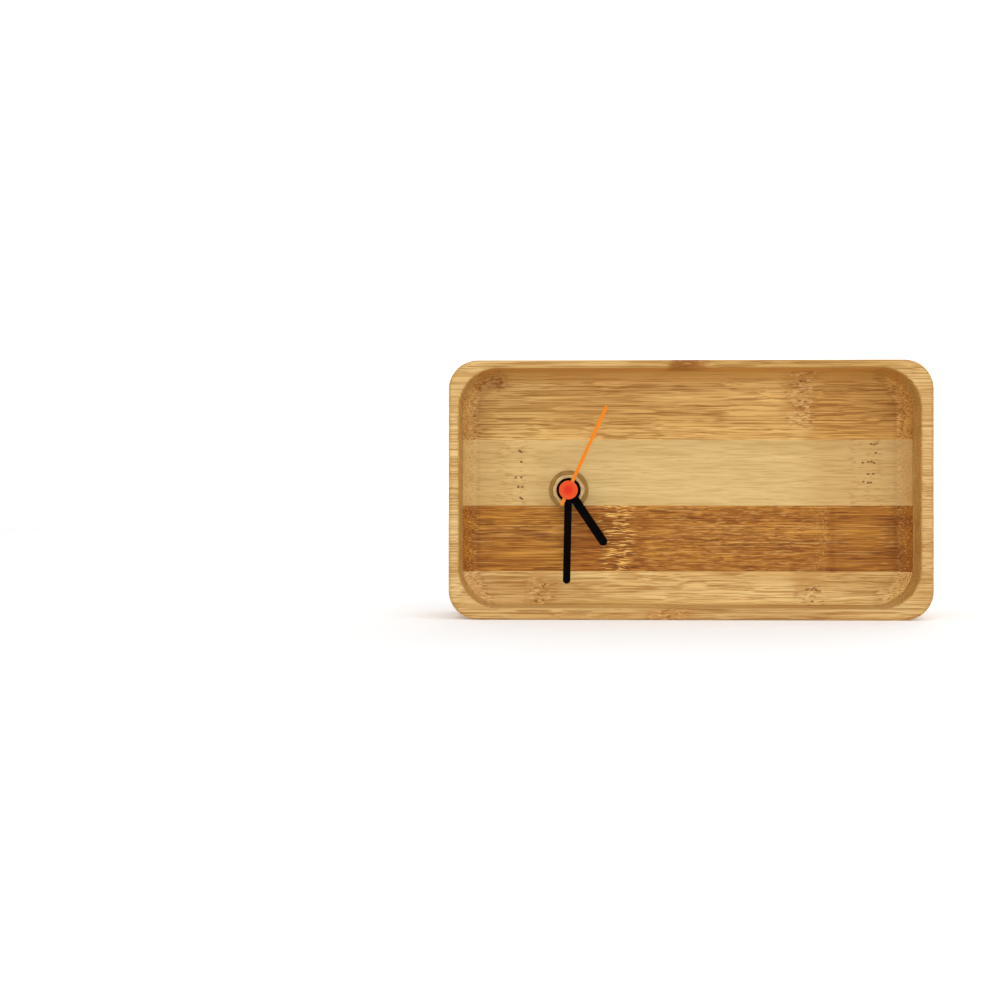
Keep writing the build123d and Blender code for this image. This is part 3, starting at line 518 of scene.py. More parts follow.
def top_bamboo():
    """Top strip of the dial: darker at the right, with rings at the right and in the left corner, and painted
    shade along its top fillet.
    """
    low, high = heights("dial_strip_top")
    ring = [(38.4, 80.0), (39.9, 79.9), (38.7, 76.2), (38.1, 73.2), (39.8, 73.1), (38.2, 71.3), (37.2, 79.0)]
    corner = [(-70.5, 77.6), (-69.0, 79.6), (-67.0, 80.3), (-66.2, 79.2), (-64.6, 80.5), (-63.4, 79.9)]
    return bamboo(
        "bamboo_strip_top", pale=srgb(226, 182, 108), deep=srgb(199, 152, 82), streak=srgb(150, 94, 38),
        seed=11.0, contrast=0.95, pale_share=0.30, sway_mm=0.3, grain=(0.034, 1.9),
        extras=[
            tone_between(40.0, 80.0, soft=6.0, z_low=low - 4.0, z_high=high + 8.0,
                         tint=(0.80, 0.70, 0.52, 1.0), share=0.95),
            # Painted shade: a darker streaky band along the fillet under the recess's top wall
            knuckle_and_shade_band(-62.0, 68.0, z_low=79.8, z_high=high + 2.0, tint=srgb(191, 138, 67), share=0.85,
                    soft=14.0, wobble=12.0),
            tone_between(-68.0, -46.0, soft=8.0, z_low=low - 4.0, z_high=high + 4.0,
                         tint=(1.06, 1.15, 1.24, 1.0), share=0.9),
            tone_between(-84.0, -68.0, soft=4.0, z_low=low - 4.0, z_high=high + 4.0,
                         tint=(0.90, 0.90, 0.94, 1.0), share=0.9),
            knuckle_and_shade_band(33.0, 41.0, z_low=69.0, z_high=high + 2.0, tint=srgb(168, 110, 46), share=0.45),
            knuckle_and_shade_band(34.0, 42.0, z_low=61.0, z_high=70.0, tint=srgb(208, 164, 98), share=0.50),
            flecks(33.0, 44.0, soft=4.0, share=0.65, length_mm=2.4, wave_mm=1.2, tint=srgb(146, 90, 34),
                   per_mm=1.7, least=0.55, z_low=64.0, z_high=high),
            flecks(35.0, 43.0, soft=3.0, share=0.65, length_mm=2.2, wave_mm=1.2, tint=srgb(226, 184, 120),
                   per_mm=1.8, least=0.55, z_low=64.0, z_high=high),
            pores(ring, size=(0.7, 0.4), share=0.6),
            knuckle_and_shade_band(-72.0, -61.0, z_low=77.0, z_high=high + 2.0, tint=srgb(160, 100, 40), share=0.5),
            flecks(-72.0, -61.0, soft=4.0, share=0.7, length_mm=1.8, wave_mm=1.0, tint=srgb(142, 82, 28),
                   per_mm=1.2, least=0.54, z_low=76.5, z_high=high),
            pores(corner, size=(0.7, 0.4), share=0.45),
        ],
    )


def light_bamboo():
    """Light strip of the dial: calm, with a ring of pores near each end."""
    low, high = heights("dial_strip_light")
    left_ring = [
        (-57.1, 56.4), (-56.5, 55.9), (-56.5, 52.6), (-58.4, 47.3), (-56.5, 47.3),
        (-57.5, 44.1), (-56.2, 44.1), (-56.8, 40.4), (-56.3, 40.0),
    ]
    right_ring = [
        (62.2, 58.6), (63.2, 58.4), (64.1, 58.7), (63.8, 55.6), (59.4, 52.3), (61.2, 52.5), (62.3, 52.6),
        (63.2, 52.2), (61.2, 48.4), (62.9, 48.5), (59.6, 45.8), (61.2, 45.5), (62.1, 45.6),
    ]
    return bamboo(
        "bamboo_strip_light", pale=srgb(217, 187, 126), deep=srgb(203, 172, 111), streak=srgb(180, 132, 69),
        seed=23.0, contrast=0.32, pale_share=0.20, sway_mm=0.3, grain=(0.070, 1.9),
        extras=[
            tone_between(40.0, 84.0, soft=14.0, z_low=low - 4.0, z_high=high + 4.0,
                         tint=(0.88, 0.80, 0.73, 1.0), share=0.9, wobble=18.0),
            tone_between(-80.0, -44.0, soft=20.0, z_low=low - 4.0, z_high=high + 4.0,
                         tint=(0.97, 0.93, 0.87, 1.0), share=0.9),
            knuckle_and_shade_band(-61.0, -53.0, z_low=low, z_high=high, tint=srgb(222, 190, 126), share=0.5),
            knuckle_and_shade_band(57.0, 68.0, z_low=low, z_high=high, tint=srgb(212, 174, 110), share=0.5),
            pores(left_ring, size=(0.60, 0.42), share=0.85),
            pores(right_ring, size=(0.60, 0.42), share=0.85),
            flecks(-65.0, -54.0, soft=3.0, share=0.45, length_mm=3.0, wave_mm=0.6, tint=srgb(176, 128, 68),
                   per_mm=1.7, least=0.55),
            flecks(55.0, 66.0, soft=3.0, share=0.45, length_mm=3.0, wave_mm=0.6, tint=srgb(172, 122, 64),
                   per_mm=1.7, least=0.55),
        ],
    )


def dark_bamboo():
    """Dark strip of the dial: a ring of bright fibres beside the hands and a narrow one at the right."""
    low, high = heights("dial_strip_dark")
    fleck = srgb(244, 194, 104)
    return bamboo(
        "bamboo_strip_dark", pale=srgb(191, 131, 47), deep=srgb(163, 103, 34), streak=srgb(116, 64, 16),
        seed=37.0, contrast=1.15, pale_share=0.55, sway_mm=0.4, grain=(0.055, 2.0), lean=-0.1,
        extras=[
            tone_between(-41.0, -28.0, soft=6.0, z_low=low - 3.0, z_high=high + 3.0,
                         tint=(0.86, 0.68, 0.54, 1.0), share=0.9),
            tone_between(-22.0, -14.0, soft=4.0, z_low=low - 3.0, z_high=high + 3.0,
                         tint=(0.82, 0.68, 0.56, 1.0), share=0.8),
            flecks(-18.0, 42.0, soft=10.0, share=0.55, length_mm=5.0, wave_mm=0.7, tint=srgb(206, 152, 80),
                   per_mm=1.9, least=0.54),
            flecks(-18.0, 42.0, soft=10.0, share=0.65, length_mm=3.6, wave_mm=1.0, tint=srgb(128, 70, 24),
                   per_mm=2.1, least=0.56),
            tone_between(-29.0, -20.0, soft=4.0, z_low=low - 3.0, z_high=high + 3.0,
                         tint=(0.84, 0.72, 0.62, 1.0), share=0.9),
            flecks(-29.5, -18.5, soft=5.0, share=0.9, length_mm=4.4, wave_mm=1.3, tint=fleck, per_mm=2.5,
                   least=0.52),
            flecks(-31.0, -17.0, soft=5.0, share=0.8, length_mm=4.4, wave_mm=1.0, tint=srgb(108, 52, 14),
                   per_mm=1.8, least=0.54),
            flecks(42.5, 47.5, soft=2.4, share=0.22, length_mm=0.9, wave_mm=1.2, tint=fleck, per_mm=1.8,
                   least=0.53),
            flecks(42.5, 47.5, soft=2.4, share=0.35, length_mm=0.9, wave_mm=1.2, tint=srgb(120, 68, 24),
                   per_mm=1.5, least=0.55),
            tone_between(47.5, 50.0, soft=1.4, z_low=low - 3.0, z_high=high + 3.0,
                         tint=(0.80, 0.70, 0.60, 1.0), share=0.7, wobble=4.0),
            tone_between(48.5, 80.0, soft=2.0, z_low=low - 3.0, z_high=high + 3.0,
                         tint=(0.97, 0.96, 0.96, 1.0), share=0.9, wobble=4.0),
            tone_between(69.0, 84.0, soft=4.0, z_low=low - 3.0, z_high=high + 3.0,
                         tint=(0.86, 0.82, 0.74, 1.0), share=0.9, wobble=4.0),
        ],
    )


def bottom_bamboo():
    """Bottom strip of the dial, with a ring on each side and a painted highlight at its left end."""
    left_ring = [(-49.4, 10.4), (-49.0, 9.9), (-48.4, 10.8), (-50.6, 7.6), (-49.0, 5.6), (-51.4, 5.2)]
    right_ring = [(40.4, 9.2), (41.0, 9.5), (42.2, 9.3), (43.0, 9.7), (43.6, 9.1), (42.0, 5.4)]
    return bamboo(
        "bamboo_strip_bottom", pale=srgb(231, 197, 131), deep=srgb(206, 166, 100), streak=srgb(172, 114, 52),
        seed=53.0, contrast=0.9, pale_share=0.35, sway_mm=0.3,
        extras=[
            # Painted highlight: a paler, greyer left end, where the corner's fillet faces the overhead light
            tone_between(-84.0, -66.0, soft=4.0, z_low=-2.0, z_high=18.0, tint=(1.02, 1.02, 1.14, 1.0),
                         share=1.0),
            knuckle_and_shade_band(-54.5, -44.0, z_low=2.0, z_high=15.0, tint=srgb(190, 136, 70), share=0.65, soft=7.0,
                    wobble=14.0),
            knuckle_and_shade_band(36.0, 46.0, z_low=8.0, z_high=15.0, tint=srgb(190, 136, 70), share=0.60, soft=7.0,
                    wobble=14.0),
            flecks(-55.0, -44.5, soft=4.0, share=0.65, length_mm=2.4, wave_mm=1.0, tint=srgb(156, 102, 44),
                   per_mm=1.7, least=0.55, z_low=2.0, z_high=13.0),
            flecks(-54.0, -46.0, soft=4.0, share=0.55, length_mm=2.2, wave_mm=1.0, tint=srgb(236, 200, 136),
                   per_mm=1.8, least=0.56, z_low=2.0, z_high=13.0),
            flecks(36.5, 46.5, soft=4.0, share=0.65, length_mm=2.4, wave_mm=1.0, tint=srgb(150, 96, 40),
                   per_mm=1.7, least=0.55, z_low=3.0, z_high=11.0),
            flecks(37.0, 46.0, soft=4.0, share=0.55, length_mm=2.2, wave_mm=1.0, tint=srgb(240, 206, 142),
                   per_mm=1.8, least=0.56, z_low=3.0, z_high=11.0),
            pores(left_ring, size=(0.60, 0.40), share=0.6),
            pores(right_ring, size=(0.65, 0.40), share=0.7),
        ],
    )


def rear_bamboo():
    """Rear layer: a board of glued strips, with three rings."""
    return bamboo(
        "bamboo_rear", pale=srgb(214, 174, 108), deep=srgb(196, 150, 84), streak=srgb(152, 98, 42), seed=71.0,
        contrast=1.0, pale_share=0.30,
        extras=[
            board_strips(width_mm=22.4, start_mm=4.3, spread=0.10),
            knuckle_and_shade_band(39.0, 48.0, z_low=26.7, z_high=49.1, tint=srgb(170, 114, 52), share=0.5, soft=6.0,
                    wobble=14.0),
            flecks(39.5, 47.5, soft=4.0, share=0.65, length_mm=2.4, wave_mm=1.0, tint=srgb(142, 88, 36),
                   per_mm=1.7, least=0.55, z_low=26.7, z_high=49.1),
            flecks(40.0, 47.0, soft=4.0, share=0.55, length_mm=2.2, wave_mm=1.0, tint=srgb(236, 196, 130),
                   per_mm=1.8, least=0.56, z_low=26.7, z_high=49.1),
            flecks(14.0, 20.0, soft=3.0, share=0.55, length_mm=2.0, wave_mm=1.0, tint=srgb(156, 102, 46),
                   per_mm=1.7, least=0.56, z_low=49.1, z_high=71.5),
            flecks(14.5, 20.0, soft=3.0, share=0.50, length_mm=2.0, wave_mm=1.0, tint=srgb(238, 200, 136),
                   per_mm=1.8, least=0.56, z_low=49.1, z_high=71.5),
            knuckle_and_shade_band(-24.0, -17.0, z_low=4.3, z_high=26.7, tint=srgb(172, 116, 54), share=0.5),
        ],
    )


def wood_materials():
    """Every bamboo finish, by node."""
    return {
        "front_frame": front_bamboo(),
        "dial_strip_top": top_bamboo(),
        "dial_strip_light": light_bamboo(),
        "dial_strip_dark": dark_bamboo(),
        "dial_strip_bottom": bottom_bamboo(),
        "rear_block": rear_bamboo(),
    }


# Metals, plastics and the rest of the movement. Scales are noise cycles per millimetre.

def metal(name, colour, roughness, brushed=0.0, stain=0.12):
    """Metal with fine scratches and faint stains."""
    shader = Shader(name)
    scratch = shader.noise(shader.scaled(2.0, 2.0, 9.0), detail=3.0)
    cloud = shader.noise(shader.scaled(0.5, 0.5, 0.5), detail=3.0)
    tone = shader.shaded(colour, shader.step(cloud, 0.3, 0.7, low=1.0 - stain, high=1.0 + stain))
    rough = shader.step(scratch, 0.2, 0.8, low=roughness - 0.08, high=roughness + 0.10)
    shader.bump(scratch, depth_mm=0.01 + brushed * 0.03, strength=0.4)
    return shader.finish(Base_Color=tone, Roughness=rough, Metallic=1.0)


def turned_metal(name, colour, roughness, axis):
    """Metal turned on a lathe: fine rings about an axis along Y."""
    shader = Shader(name)
    y = shader.point()[1]
    rings = shader.noise(
        shader.vector(shader.times(shader.from_axis(axis), 7.0), shader.times(y, 5.0), 0.0), detail=2.0
    )
    cloud = shader.noise(shader.scaled(0.4, 0.4, 0.4), detail=2.0)
    tone = shader.shaded(colour, shader.step(cloud, 0.3, 0.7, low=0.86, high=1.08))
    rough = shader.step(rings, 0.25, 0.75, low=roughness - 0.06, high=roughness + 0.10)
    shader.bump(rings, depth_mm=0.02, strength=0.5)
    return shader.finish(Base_Color=tone, Roughness=rough, Metallic=1.0)


def moulded(name, colour, roughness, grain, depth_mm):
    """Moulded plastic with a fine spark-eroded texture and a little colour drift."""
    shader = Shader(name)
    texture = shader.noise(shader.scaled(grain, grain, grain), detail=2.0)
    drift = shader.noise(shader.scaled(0.08, 0.08, 0.08), detail=2.0)
    tone = shader.shaded(colour, shader.step(drift, 0.3, 0.7, low=0.90, high=1.10))
    rough = shader.step(texture, 0.2, 0.8, low=roughness - 0.06, high=roughness + 0.08)
    shader.bump(texture, depth_mm, strength=0.6)
    return shader.finish(Base_Color=tone, Roughness=rough, Specular_IOR_Level=0.4)


def winding(name, colour):
    """Enamelled copper wire, wound side by side about an axis along X, with painted shade in the creases
    between the turns.
    """
    shader = Shader(name)
    turns = shader.math("PINGPONG", shader.times(shader.point()[0], 5.0), 0.5)
    # Painted shade: darker colour in the creases between the turns
    tone = shader.mix(shader.step(turns, 0.0, 0.5), srgb(96, 40, 16), colour)
    rough = shader.step(turns, 0.0, 0.5, low=0.5, high=0.28)
    shader.bump(turns, depth_mm=0.06, strength=0.8)
    return shader.finish(Base_Color=tone, Roughness=rough, Metallic=1.0)


def circuit(name):
    """Green solder mask with copper tracks under it."""
    shader = Shader(name)
    x, _, z = shader.point()
    cell = shader.vector(shader.times(x, 0.5), shader.times(z, 0.5), 0.0)
    tracks = shader.step(shader.cells(cell, randomness=0.4).outputs["Distance"], 0.32, 0.38)
    tone = shader.mix(tracks, srgb(20, 74, 44), srgb(36, 104, 62))
    rough = shader.step(tracks, 0.0, 1.0, low=0.38, high=0.32)
    shader.bump(tracks, depth_mm=0.03, strength=0.5)
    return shader.finish(Base_Color=tone, Roughness=rough)


def second_hand_paint(name):
    """Orange arm, with a red hub that is deeper at its middle."""
    shader = Shader(name)
    radius = shader.from_axis(hands)
    hub = shader.mix(shader.step(radius, 0.6, 2.6), srgb(213, 46, 22), srgb(222, 79, 29))
    tone = shader.mix(shader.step(radius, 2.9, 3.3), hub, srgb(230, 126, 26))
    speck = shader.noise(shader.scaled(4.0, 4.0, 4.0), detail=2.0)
    tone = shader.shaded(tone, shader.step(speck, 0.3, 0.7, low=0.96, high=1.04))
    rough = shader.step(speck, 0.2, 0.8, low=0.42, high=0.52)
    shader.bump(speck, depth_mm=0.008, strength=0.4)
    return shader.finish(Base_Color=tone, Roughness=rough, Specular_IOR_Level=0.12)


def black_paint(name):
    """Black lacquer on thin sheet, with fine dust in it."""
    shader = Shader(name)
    speck = shader.noise(shader.scaled(5.0, 5.0, 5.0), detail=3.0)
    tone = shader.mix(shader.step(speck, 0.35, 0.7), srgb(3, 2, 3), srgb(6, 5, 6))
    rough = shader.step(speck, 0.2, 0.8, low=0.38, high=0.55)
    shader.bump(speck, depth_mm=0.01, strength=0.5)
    return shader.finish(Base_Color=tone, Roughness=rough, Specular_IOR_Level=0.02)


def sleeve(name, left, right):
    """Plain printed sleeve of the cell: silver, with a teal band and a thin stripe at the raised end."""
    teal = srgb(18, 110, 116)
    shader = Shader(name)
    x = shader.point()[0]
    band_start = right - (right - left) * 0.24
    band = shader.step(x, band_start - 0.05, band_start + 0.05)
    stripe = shader.band(x, band_start - 1.2, half=0.3, soft=0.05)
    brushed = shader.noise(shader.scaled(0.3, 6.0, 6.0), detail=2.0)
    tone = shader.mix(shader.step(brushed, 0.3, 0.7), srgb(176, 180, 184), srgb(206, 209, 212))
    for printed in (band, stripe):
        tone = shader.mix(printed, tone, teal)
    rough = shader.step(brushed, 0.2, 0.8, low=0.28, high=0.36)
    shader.bump(brushed, depth_mm=0.01, strength=0.3)
    return shader.finish(Base_Color=tone, Roughness=rough, Metallic=0.35)


def other_materials():
    """Finish of every other slot."""
    jacket_low, jacket_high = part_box("battery_jacket")
    return {
        "bush_brass": turned_metal("brass_turned", srgb(196, 158, 92), 0.34, hands),
        "washer_metal": turned_metal("washer_plated", srgb(154, 118, 64), 0.45, hands),
        "nut_metal": metal("nut_plated", srgb(190, 157, 112), 0.34, brushed=0.4),
        "rubber": moulded("rubber_black", srgb(24, 24, 25), 0.82, grain=3.0, depth_mm=0.04),
        "case_plastic": moulded("plastic_black", srgb(26, 26, 28), 0.50, grain=7.0, depth_mm=0.03),
        "gear_plastic": moulded("acetal_white", srgb(226, 222, 206), 0.42, grain=3.0, depth_mm=0.01),
        "plate_plastic": moulded("plastic_grey", srgb(142, 143, 146), 0.48, grain=5.0, depth_mm=0.02),
        "pin_steel": metal("steel_pin", srgb(190, 191, 194), 0.22),
        "magnet": metal("magnet_sintered", srgb(96, 96, 100), 0.55, brushed=1.0, stain=0.2),
        "stator_steel": metal("steel_rolled", srgb(172, 173, 176), 0.36, brushed=1.0),
        "copper": winding("copper_wire", srgb(208, 122, 66)),
        "board": circuit("board_green"),
        "blob": moulded("epoxy_black", srgb(18, 18, 19), 0.30, grain=2.0, depth_mm=0.03),
        "crystal_can": metal("crystal_nickel", srgb(200, 198, 190), 0.25),
        "contact_metal": metal("contact_nickel", srgb(196, 194, 186), 0.30, brushed=0.6),
        "battery_steel": metal("cell_steel", srgb(186, 187, 190), 0.28, brushed=0.5),
        "battery_mix": moulded("cell_filling", srgb(58, 54, 50), 0.85, grain=2.0, depth_mm=0.06),
        "battery_sleeve": sleeve("cell_sleeve", jacket_low.x / MM, jacket_high.x / MM),
        "knob_plastic": moulded("knob_white", srgb(216, 214, 206), 0.44, grain=5.0, depth_mm=0.015),
        "hand_black": black_paint("hand_lacquer"),
        "hand_orange": second_hand_paint("second_hand_paint"),
    }


# Radius in millimetres of the fine rounded edges that CAD nodes get
EDGE_ROUNDS = {
    "hour_hand": 0.06,
    "minute_hand": 0.06,
    "second_hand": 0.05,
    "hex_nut": 0.08,
    "washer": 0.05,
    "movement_case": 0.15,
    "movement_cover": 0.15,
    "setting_knob": 0.08,
    "battery_can": 0.12,
    "battery_jacket": 0.04,
}


def round_edges(item, edge_mm):
    """Adds a fine rounded edge wherever two faces meet sharply."""
    bevel = item.modifiers.new("edge_round", "BEVEL")
    bevel.width = edge_mm * MM
    bevel.segments = 2
    bevel.limit_method = "ANGLE"
    bevel.harden_normals = True


def dress_nodes(wood, others):
    """Gives every CAD node its finish and fine rounded edges."""
    for part in frame["record"]["subparts"]:
        name = part["node"]
        item = nodes[name]
        finish = wood[name] if name in wood else others[part["material_slot"]]
        item.data.materials.clear()
        item.data.materials.append(finish)
        if name in EDGE_ROUNDS:
            round_edges(item, EDGE_ROUNDS[name])


# Moulded details of the movement's cover, each a mesh piece that rides with the clock.
# Sizes are millimetres; each detail's foot is sunk a little into the cover.

SUNK = 0.02
RIM_OUTER, RIM_OUTER_CORNER = 1.0, 3.0
RIM_INNER, RIM_INNER_CORNER = 1.7, 2.3
RIM_RISE, RIM_EDGE = 0.25, 0.07
BOSS_OUTER, BOSS_INNER, BOSS_PIVOT = 4.6, 3.7, 1.6
BOSS_RISE, BOSS_EDGE = 0.35, 0.08
RIB_COUNT, RIB_START, RIB_PITCH = 6, 5.0, 1.7
RIB_REACH, RIB_HALF, RIB_CORNER = 9.0, 0.4, 0.39
RIB_RISE, RIB_EDGE = 0.3, 0.08
ARROW_RADIUS, ARROW_BREADTH, ARROW_HEAD = 8.0, 0.7, 1.9
ARROW_SWEEPS = ((97.0, 160.0), (83.0, 20.0))
SIGN_RISE, SIGN_EDGE = 0.22, 0.05
PLUS_INSET, PLUS_SIZE, PLUS_BREADTH = (4.2, 4.4), 2.4, 0.6
MINUS_ENDS, MINUS_SIDES, MINUS_CORNER = (3.2, 5.6), (4.1, 4.7), 0.1


def rounded_rectangle(left, right, low, high, radius, steps=6):
    """Points of a rounded rectangle as x and z, counterclockwise."""
    corners = [(right - radius, high - radius, 0), (left + radius, high - radius, 90),
               (left + radius, low + radius, 180), (right - radius, low + radius, 270)]
    points = []
    for x, z, start in corners:
        for i in range(steps + 1):
            turn = math.radians(start + 90 * i / steps)
            points.append((x + radius * math.cos(turn), z + radius * math.sin(turn)))
    return points


def circle(x, z, radius, steps=48):
    """Points of a circle as x and z, counterclockwise."""
    turns = [2 * math.pi * i / steps for i in range(steps)]
    return [(x + radius * math.cos(turn), z + radius * math.sin(turn)) for turn in turns]


def curved_arrow(x, z, radius, breadth, start, end, head, steps=14):
    """Outline of an arc with an arrow head at its end, about a point; angles are degrees."""
    def at(distance, angle):
        turn = math.radians(angle)
        return (x + distance * math.cos(turn), z + distance * math.sin(turn))
    angles = [start + (end - start) * i / steps for i in range(steps + 1)]
    outer = [at(radius + breadth / 2, angle) for angle in angles]
    inner = [at(radius - breadth / 2, angle) for angle in reversed(angles)]
    forward = math.copysign(math.degrees(head * 1.5 / radius), end - start)
    tip = [at(radius + head / 2, end), at(radius, end + forward), at(radius - head / 2, end)]
    return outer + tip + inner


def cross(x, z, size, breadth):
    """Outline of a plus sign."""
    a, b = size / 2, breadth / 2
    steps = [
        (a, -b), (a, b), (b, b), (b, a), (-b, a), (-b, b),
        (-a, b), (-a, -b), (-b, -b), (-b, -a), (b, -a), (b, -b),
    ]
    return [(x + right, z + up) for right, up in steps]


def ring_of(mesh, points, y):
    """Vertices of an outline at depth y."""
    return [mesh.verts.new((x * MM, y * MM, z * MM)) for x, z in points]


def join_rings(mesh, first, second):
    """Faces between two rings with as many vertices."""
    for i in range(len(first)):
        after = (i + 1) % len(first)
        mesh.faces.new((first[i], first[after], second[after], second[i]))


def raised_shape(mesh, outline, y, rise):
    """Solid pad of a closed outline that stands on a face at depth y."""
    foot = ring_of(mesh, outline, y)
    top = ring_of(mesh, outline, y + rise)
    join_rings(mesh, foot, top)
    mesh.faces.new(top)
    mesh.faces.new(foot)


def raised_frame(mesh, outer, inner, y, rise):
    """Solid rim between two outlines with as many points, standing on a face at depth y."""
    rings = [ring_of(mesh, outer, y), ring_of(mesh, outer, y + rise),
             ring_of(mesh, inner, y + rise), ring_of(mesh, inner, y)]
    for i in range(len(rings)):
        join_rings(mesh, rings[i], rings[(i + 1) % len(rings)])


def scene_object(name, mesh, finish):
    """Turns a bmesh into an object of the scene, with its faces turned one way."""
    bmesh.ops.recalc_face_normals(mesh, faces=mesh.faces)
    data = bpy.data.meshes.new(name)
    mesh.to_mesh(data)
    mesh.free()
    data.materials.append(finish)
    item = bpy.data.objects.new(name, data)
    bpy.context.scene.collection.objects.link(item)
    return item


def cover_piece(name, mesh, finish, edge_mm):
    """Turns a bmesh into a piece of the cover with fine rounded edges."""
    item = scene_object(name, mesh, finish)
    round_edges(item, edge_mm)
    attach(item, "clock")


def cover_details(finish):
    """Rim, bearing boss, grip ribs, turn arrows and polarity signs on the cover's back."""
    low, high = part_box("movement_cover")
    left, right = low.x / MM, high.x / MM
    bottom, top = low.z / MM, high.z / MM
    y = high.y / MM - SUNK
    x_hands, z_hands = hands.x / MM, hands.z / MM
    x_knob, z_knob = knob.x / MM, knob.z / MM

    def inset_outline(inset, corner):
        return rounded_rectangle(left + inset, right - inset, bottom + inset, top - inset, corner)

    rim = bmesh.new()
    outer = inset_outline(RIM_OUTER, RIM_OUTER_CORNER)
    raised_frame(rim, outer, inset_outline(RIM_INNER, RIM_INNER_CORNER), y, RIM_RISE)
    cover_piece("cover_rim", rim, finish, RIM_EDGE)

    boss = bmesh.new()
    outer = circle(x_hands, z_hands, BOSS_OUTER)
    raised_frame(boss, outer, circle(x_hands, z_hands, BOSS_INNER), y, BOSS_RISE)
    raised_shape(boss, circle(x_hands, z_hands, BOSS_PIVOT, steps=32), y, BOSS_RISE)
    cover_piece("cover_boss", boss, finish, BOSS_EDGE)

    ribs = bmesh.new()
    for i in range(RIB_COUNT):
        z = top - RIB_START - RIB_PITCH * i
        outline = rounded_rectangle(
            x_hands - RIB_REACH, x_hands + RIB_REACH, z - RIB_HALF, z + RIB_HALF, RIB_CORNER
        )
        raised_shape(ribs, outline, y, RIB_RISE)
    cover_piece("cover_ribs", ribs, finish, RIB_EDGE)

    arrows = bmesh.new()
    for start, end in ARROW_SWEEPS:
        outline = curved_arrow(x_knob, z_knob, ARROW_RADIUS, ARROW_BREADTH, start, end, ARROW_HEAD)
        raised_shape(arrows, outline, y, SIGN_RISE)
    cover_piece("turn_arrows", arrows, finish, SIGN_EDGE)

    signs = bmesh.new()
    plus = cross(right - PLUS_INSET[0], bottom + PLUS_INSET[1], PLUS_SIZE, PLUS_BREADTH)
    raised_shape(signs, plus, y, SIGN_RISE)
    ends = [left + distance for distance in MINUS_ENDS]
    sides = [bottom + distance for distance in MINUS_SIDES]
    raised_shape(signs, rounded_rectangle(*ends, *sides, MINUS_CORNER, steps=2), y, SIGN_RISE)
    cover_piece("polarity_signs", signs, finish, SIGN_EDGE)


# Stage, light and camera

# Floor and backdrop in metres; the backdrop glows more where it is far from the clock
FLOOR_RING, FLOOR_RADIUS = 0.6, 2.2
CURVE_RADIUS, STAGE_HEIGHT = 0.8, 2.0
CURVE_STEPS, TURN_STEPS = 16, 72
GLOW_FROM_MM, GLOW_TO_MM = 1200.0, 2400.0
GLOW_NEAR, GLOW_FAR = 0.12, 0.50

# Name, place, size and power of each softbox
SOFTBOXES = (
    ("softbox_top", (0.15, -0.50, 1.15), (1.4, 1.0), 5.8),
    ("softbox_front", (0.15, -1.5, 0.55), (1.2, 1.2), 1.2),
    ("softbox_back", (0.4, 1.2, 0.9), (1.2, 0.9), 5.0),
)
ROOM_LIGHT = 0.43

# Where the clock stands in the picture: the middle of its front, in pixels of a square frame
PICTURE = 1000.0
CLOCK_PIXEL = (690.3, 490.0)
PIXELS_PER_MM = 3.025
# The camera's distance from the clock's front and its place beside the middle, in metres, and its shift
CAMERA_DISTANCE = 0.480
CAMERA_SIDE = -0.033
CAMERA_SHIFT = -0.052
SENSOR = 36.0


def stage_finish():
    """Pale matt paint that glows a little, more so away from the clock."""
    shader = Shader("stage_pale")
    x, y, _ = shader.point()
    cloud = shader.noise(shader.scaled(0.004, 0.004, 0.0), detail=2.0)
    tone = shader.mix(shader.step(cloud, 0.3, 0.7), srgb(243, 243, 243), srgb(247, 247, 247))
    distance = shader.math("SQRT", shader.plus(shader.times(x, x), shader.times(y, y)))
    glow = shader.step(distance, GLOW_FROM_MM, GLOW_TO_MM, GLOW_NEAR, GLOW_FAR)
    shader.material.cycles.emission_sampling = "NONE"
    return shader.finish(
        Base_Color=tone, Roughness=0.9, Specular_IOR_Level=0.1, Emission_Color=WHITE, Emission_Strength=glow
    )


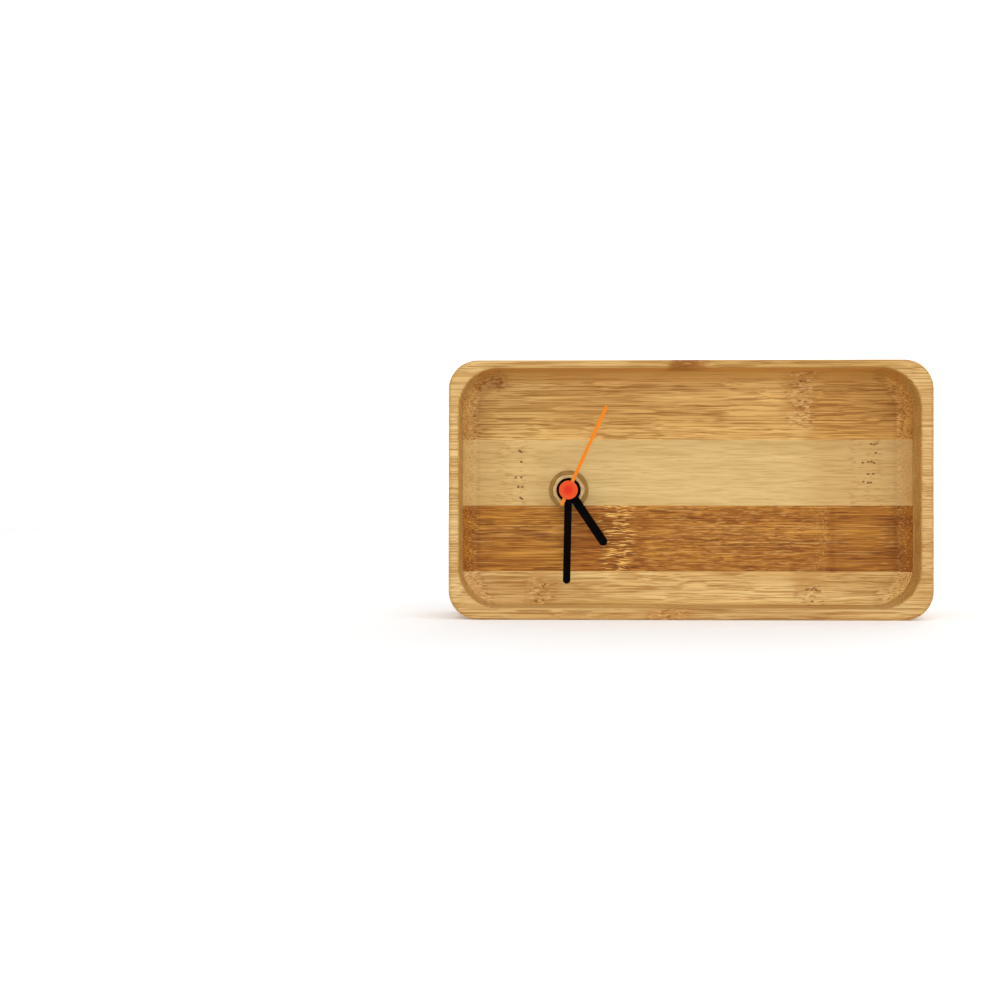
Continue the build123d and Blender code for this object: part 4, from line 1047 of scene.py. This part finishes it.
def make_stage():
    """Pale round floor that curves up into a backdrop on every side, well away from the clock."""
    profile = [(FLOOR_RING, 0.0), (FLOOR_RADIUS, 0.0)]
    for i in range(1, CURVE_STEPS + 1):
        turn = math.radians(90 * i / CURVE_STEPS)
        across, up = CURVE_RADIUS * math.sin(turn), CURVE_RADIUS - CURVE_RADIUS * math.cos(turn)
        profile.append((FLOOR_RADIUS + across, up))
    profile.append((FLOOR_RADIUS + CURVE_RADIUS, STAGE_HEIGHT))
    bowl = bmesh.new()
    middle = bowl.verts.new((0.0, 0.0, block_low.z))
    rings = []
    for radius, up in profile:
        outline = circle(0.0, 0.0, radius, TURN_STEPS)
        rings.append([bowl.verts.new((x, y, block_low.z + up)) for x, y in outline])
    for i in range(TURN_STEPS):
        bowl.faces.new((middle, rings[0][i], rings[0][(i + 1) % TURN_STEPS]))
    for first, second in zip(rings, rings[1:]):
        join_rings(bowl, first, second)
    stage = scene_object("stage", bowl, stage_finish())
    stage.data.polygons.foreach_set("use_smooth", [True] * len(stage.data.polygons))


def area_light(name, place, target, size, power):
    """Rectangular softbox that faces a target."""
    light = bpy.data.lights.new(name, "AREA")
    light.shape = "RECTANGLE"
    light.size, light.size_y = size
    light.energy = power
    item = bpy.data.objects.new(name, light)
    item.location = place
    item.rotation_euler = (Vector(target) - Vector(place)).to_track_quat("-Z", "Y").to_euler()
    bpy.context.scene.collection.objects.link(item)


def make_light():
    """White room with a wide softbox overhead, a frontal fill and one behind."""
    world = bpy.data.worlds.new("studio")
    world.use_nodes = True
    room = world.node_tree.nodes["Background"]
    room.inputs["Color"].default_value = WHITE
    room.inputs["Strength"].default_value = ROOM_LIGHT
    bpy.context.scene.world = world
    for name, place, size, power in SOFTBOXES:
        area_light(name, place, (0.0, 0.0, middle_z), size, power)


def make_camera():
    """Camera at the photo's place, aimed so that the clock's front falls on its pixels."""
    data = bpy.data.cameras.new("camera")
    data.sensor_width = SENSOR
    data.lens = PIXELS_PER_MM / MM / PICTURE * SENSOR * CAMERA_DISTANCE
    data.shift_x = CAMERA_SHIFT
    data.shift_y = (CLOCK_PIXEL[1] - PICTURE / 2) / PICTURE
    data.clip_start, data.clip_end = 0.01, 20.0
    right_of_axis = (CLOCK_PIXEL[0] / PICTURE - 0.5 + CAMERA_SHIFT) * SENSOR / data.lens
    yaw = math.atan(right_of_axis) - math.atan(-CAMERA_SIDE / CAMERA_DISTANCE)
    camera = bpy.data.objects.new("camera", data)
    camera.location = (CAMERA_SIDE, front_y - CAMERA_DISTANCE, middle_z)
    camera.rotation_euler = (math.radians(90), 0.0, yaw)
    bpy.context.scene.collection.objects.link(camera)
    bpy.context.scene.camera = camera


other_finishes = other_materials()
dress_nodes(wood_materials(), other_finishes)
cover_details(other_finishes["case_plastic"])
make_stage()
make_light()
make_camera()
bpy.context.scene.view_settings.view_transform = "Standard"
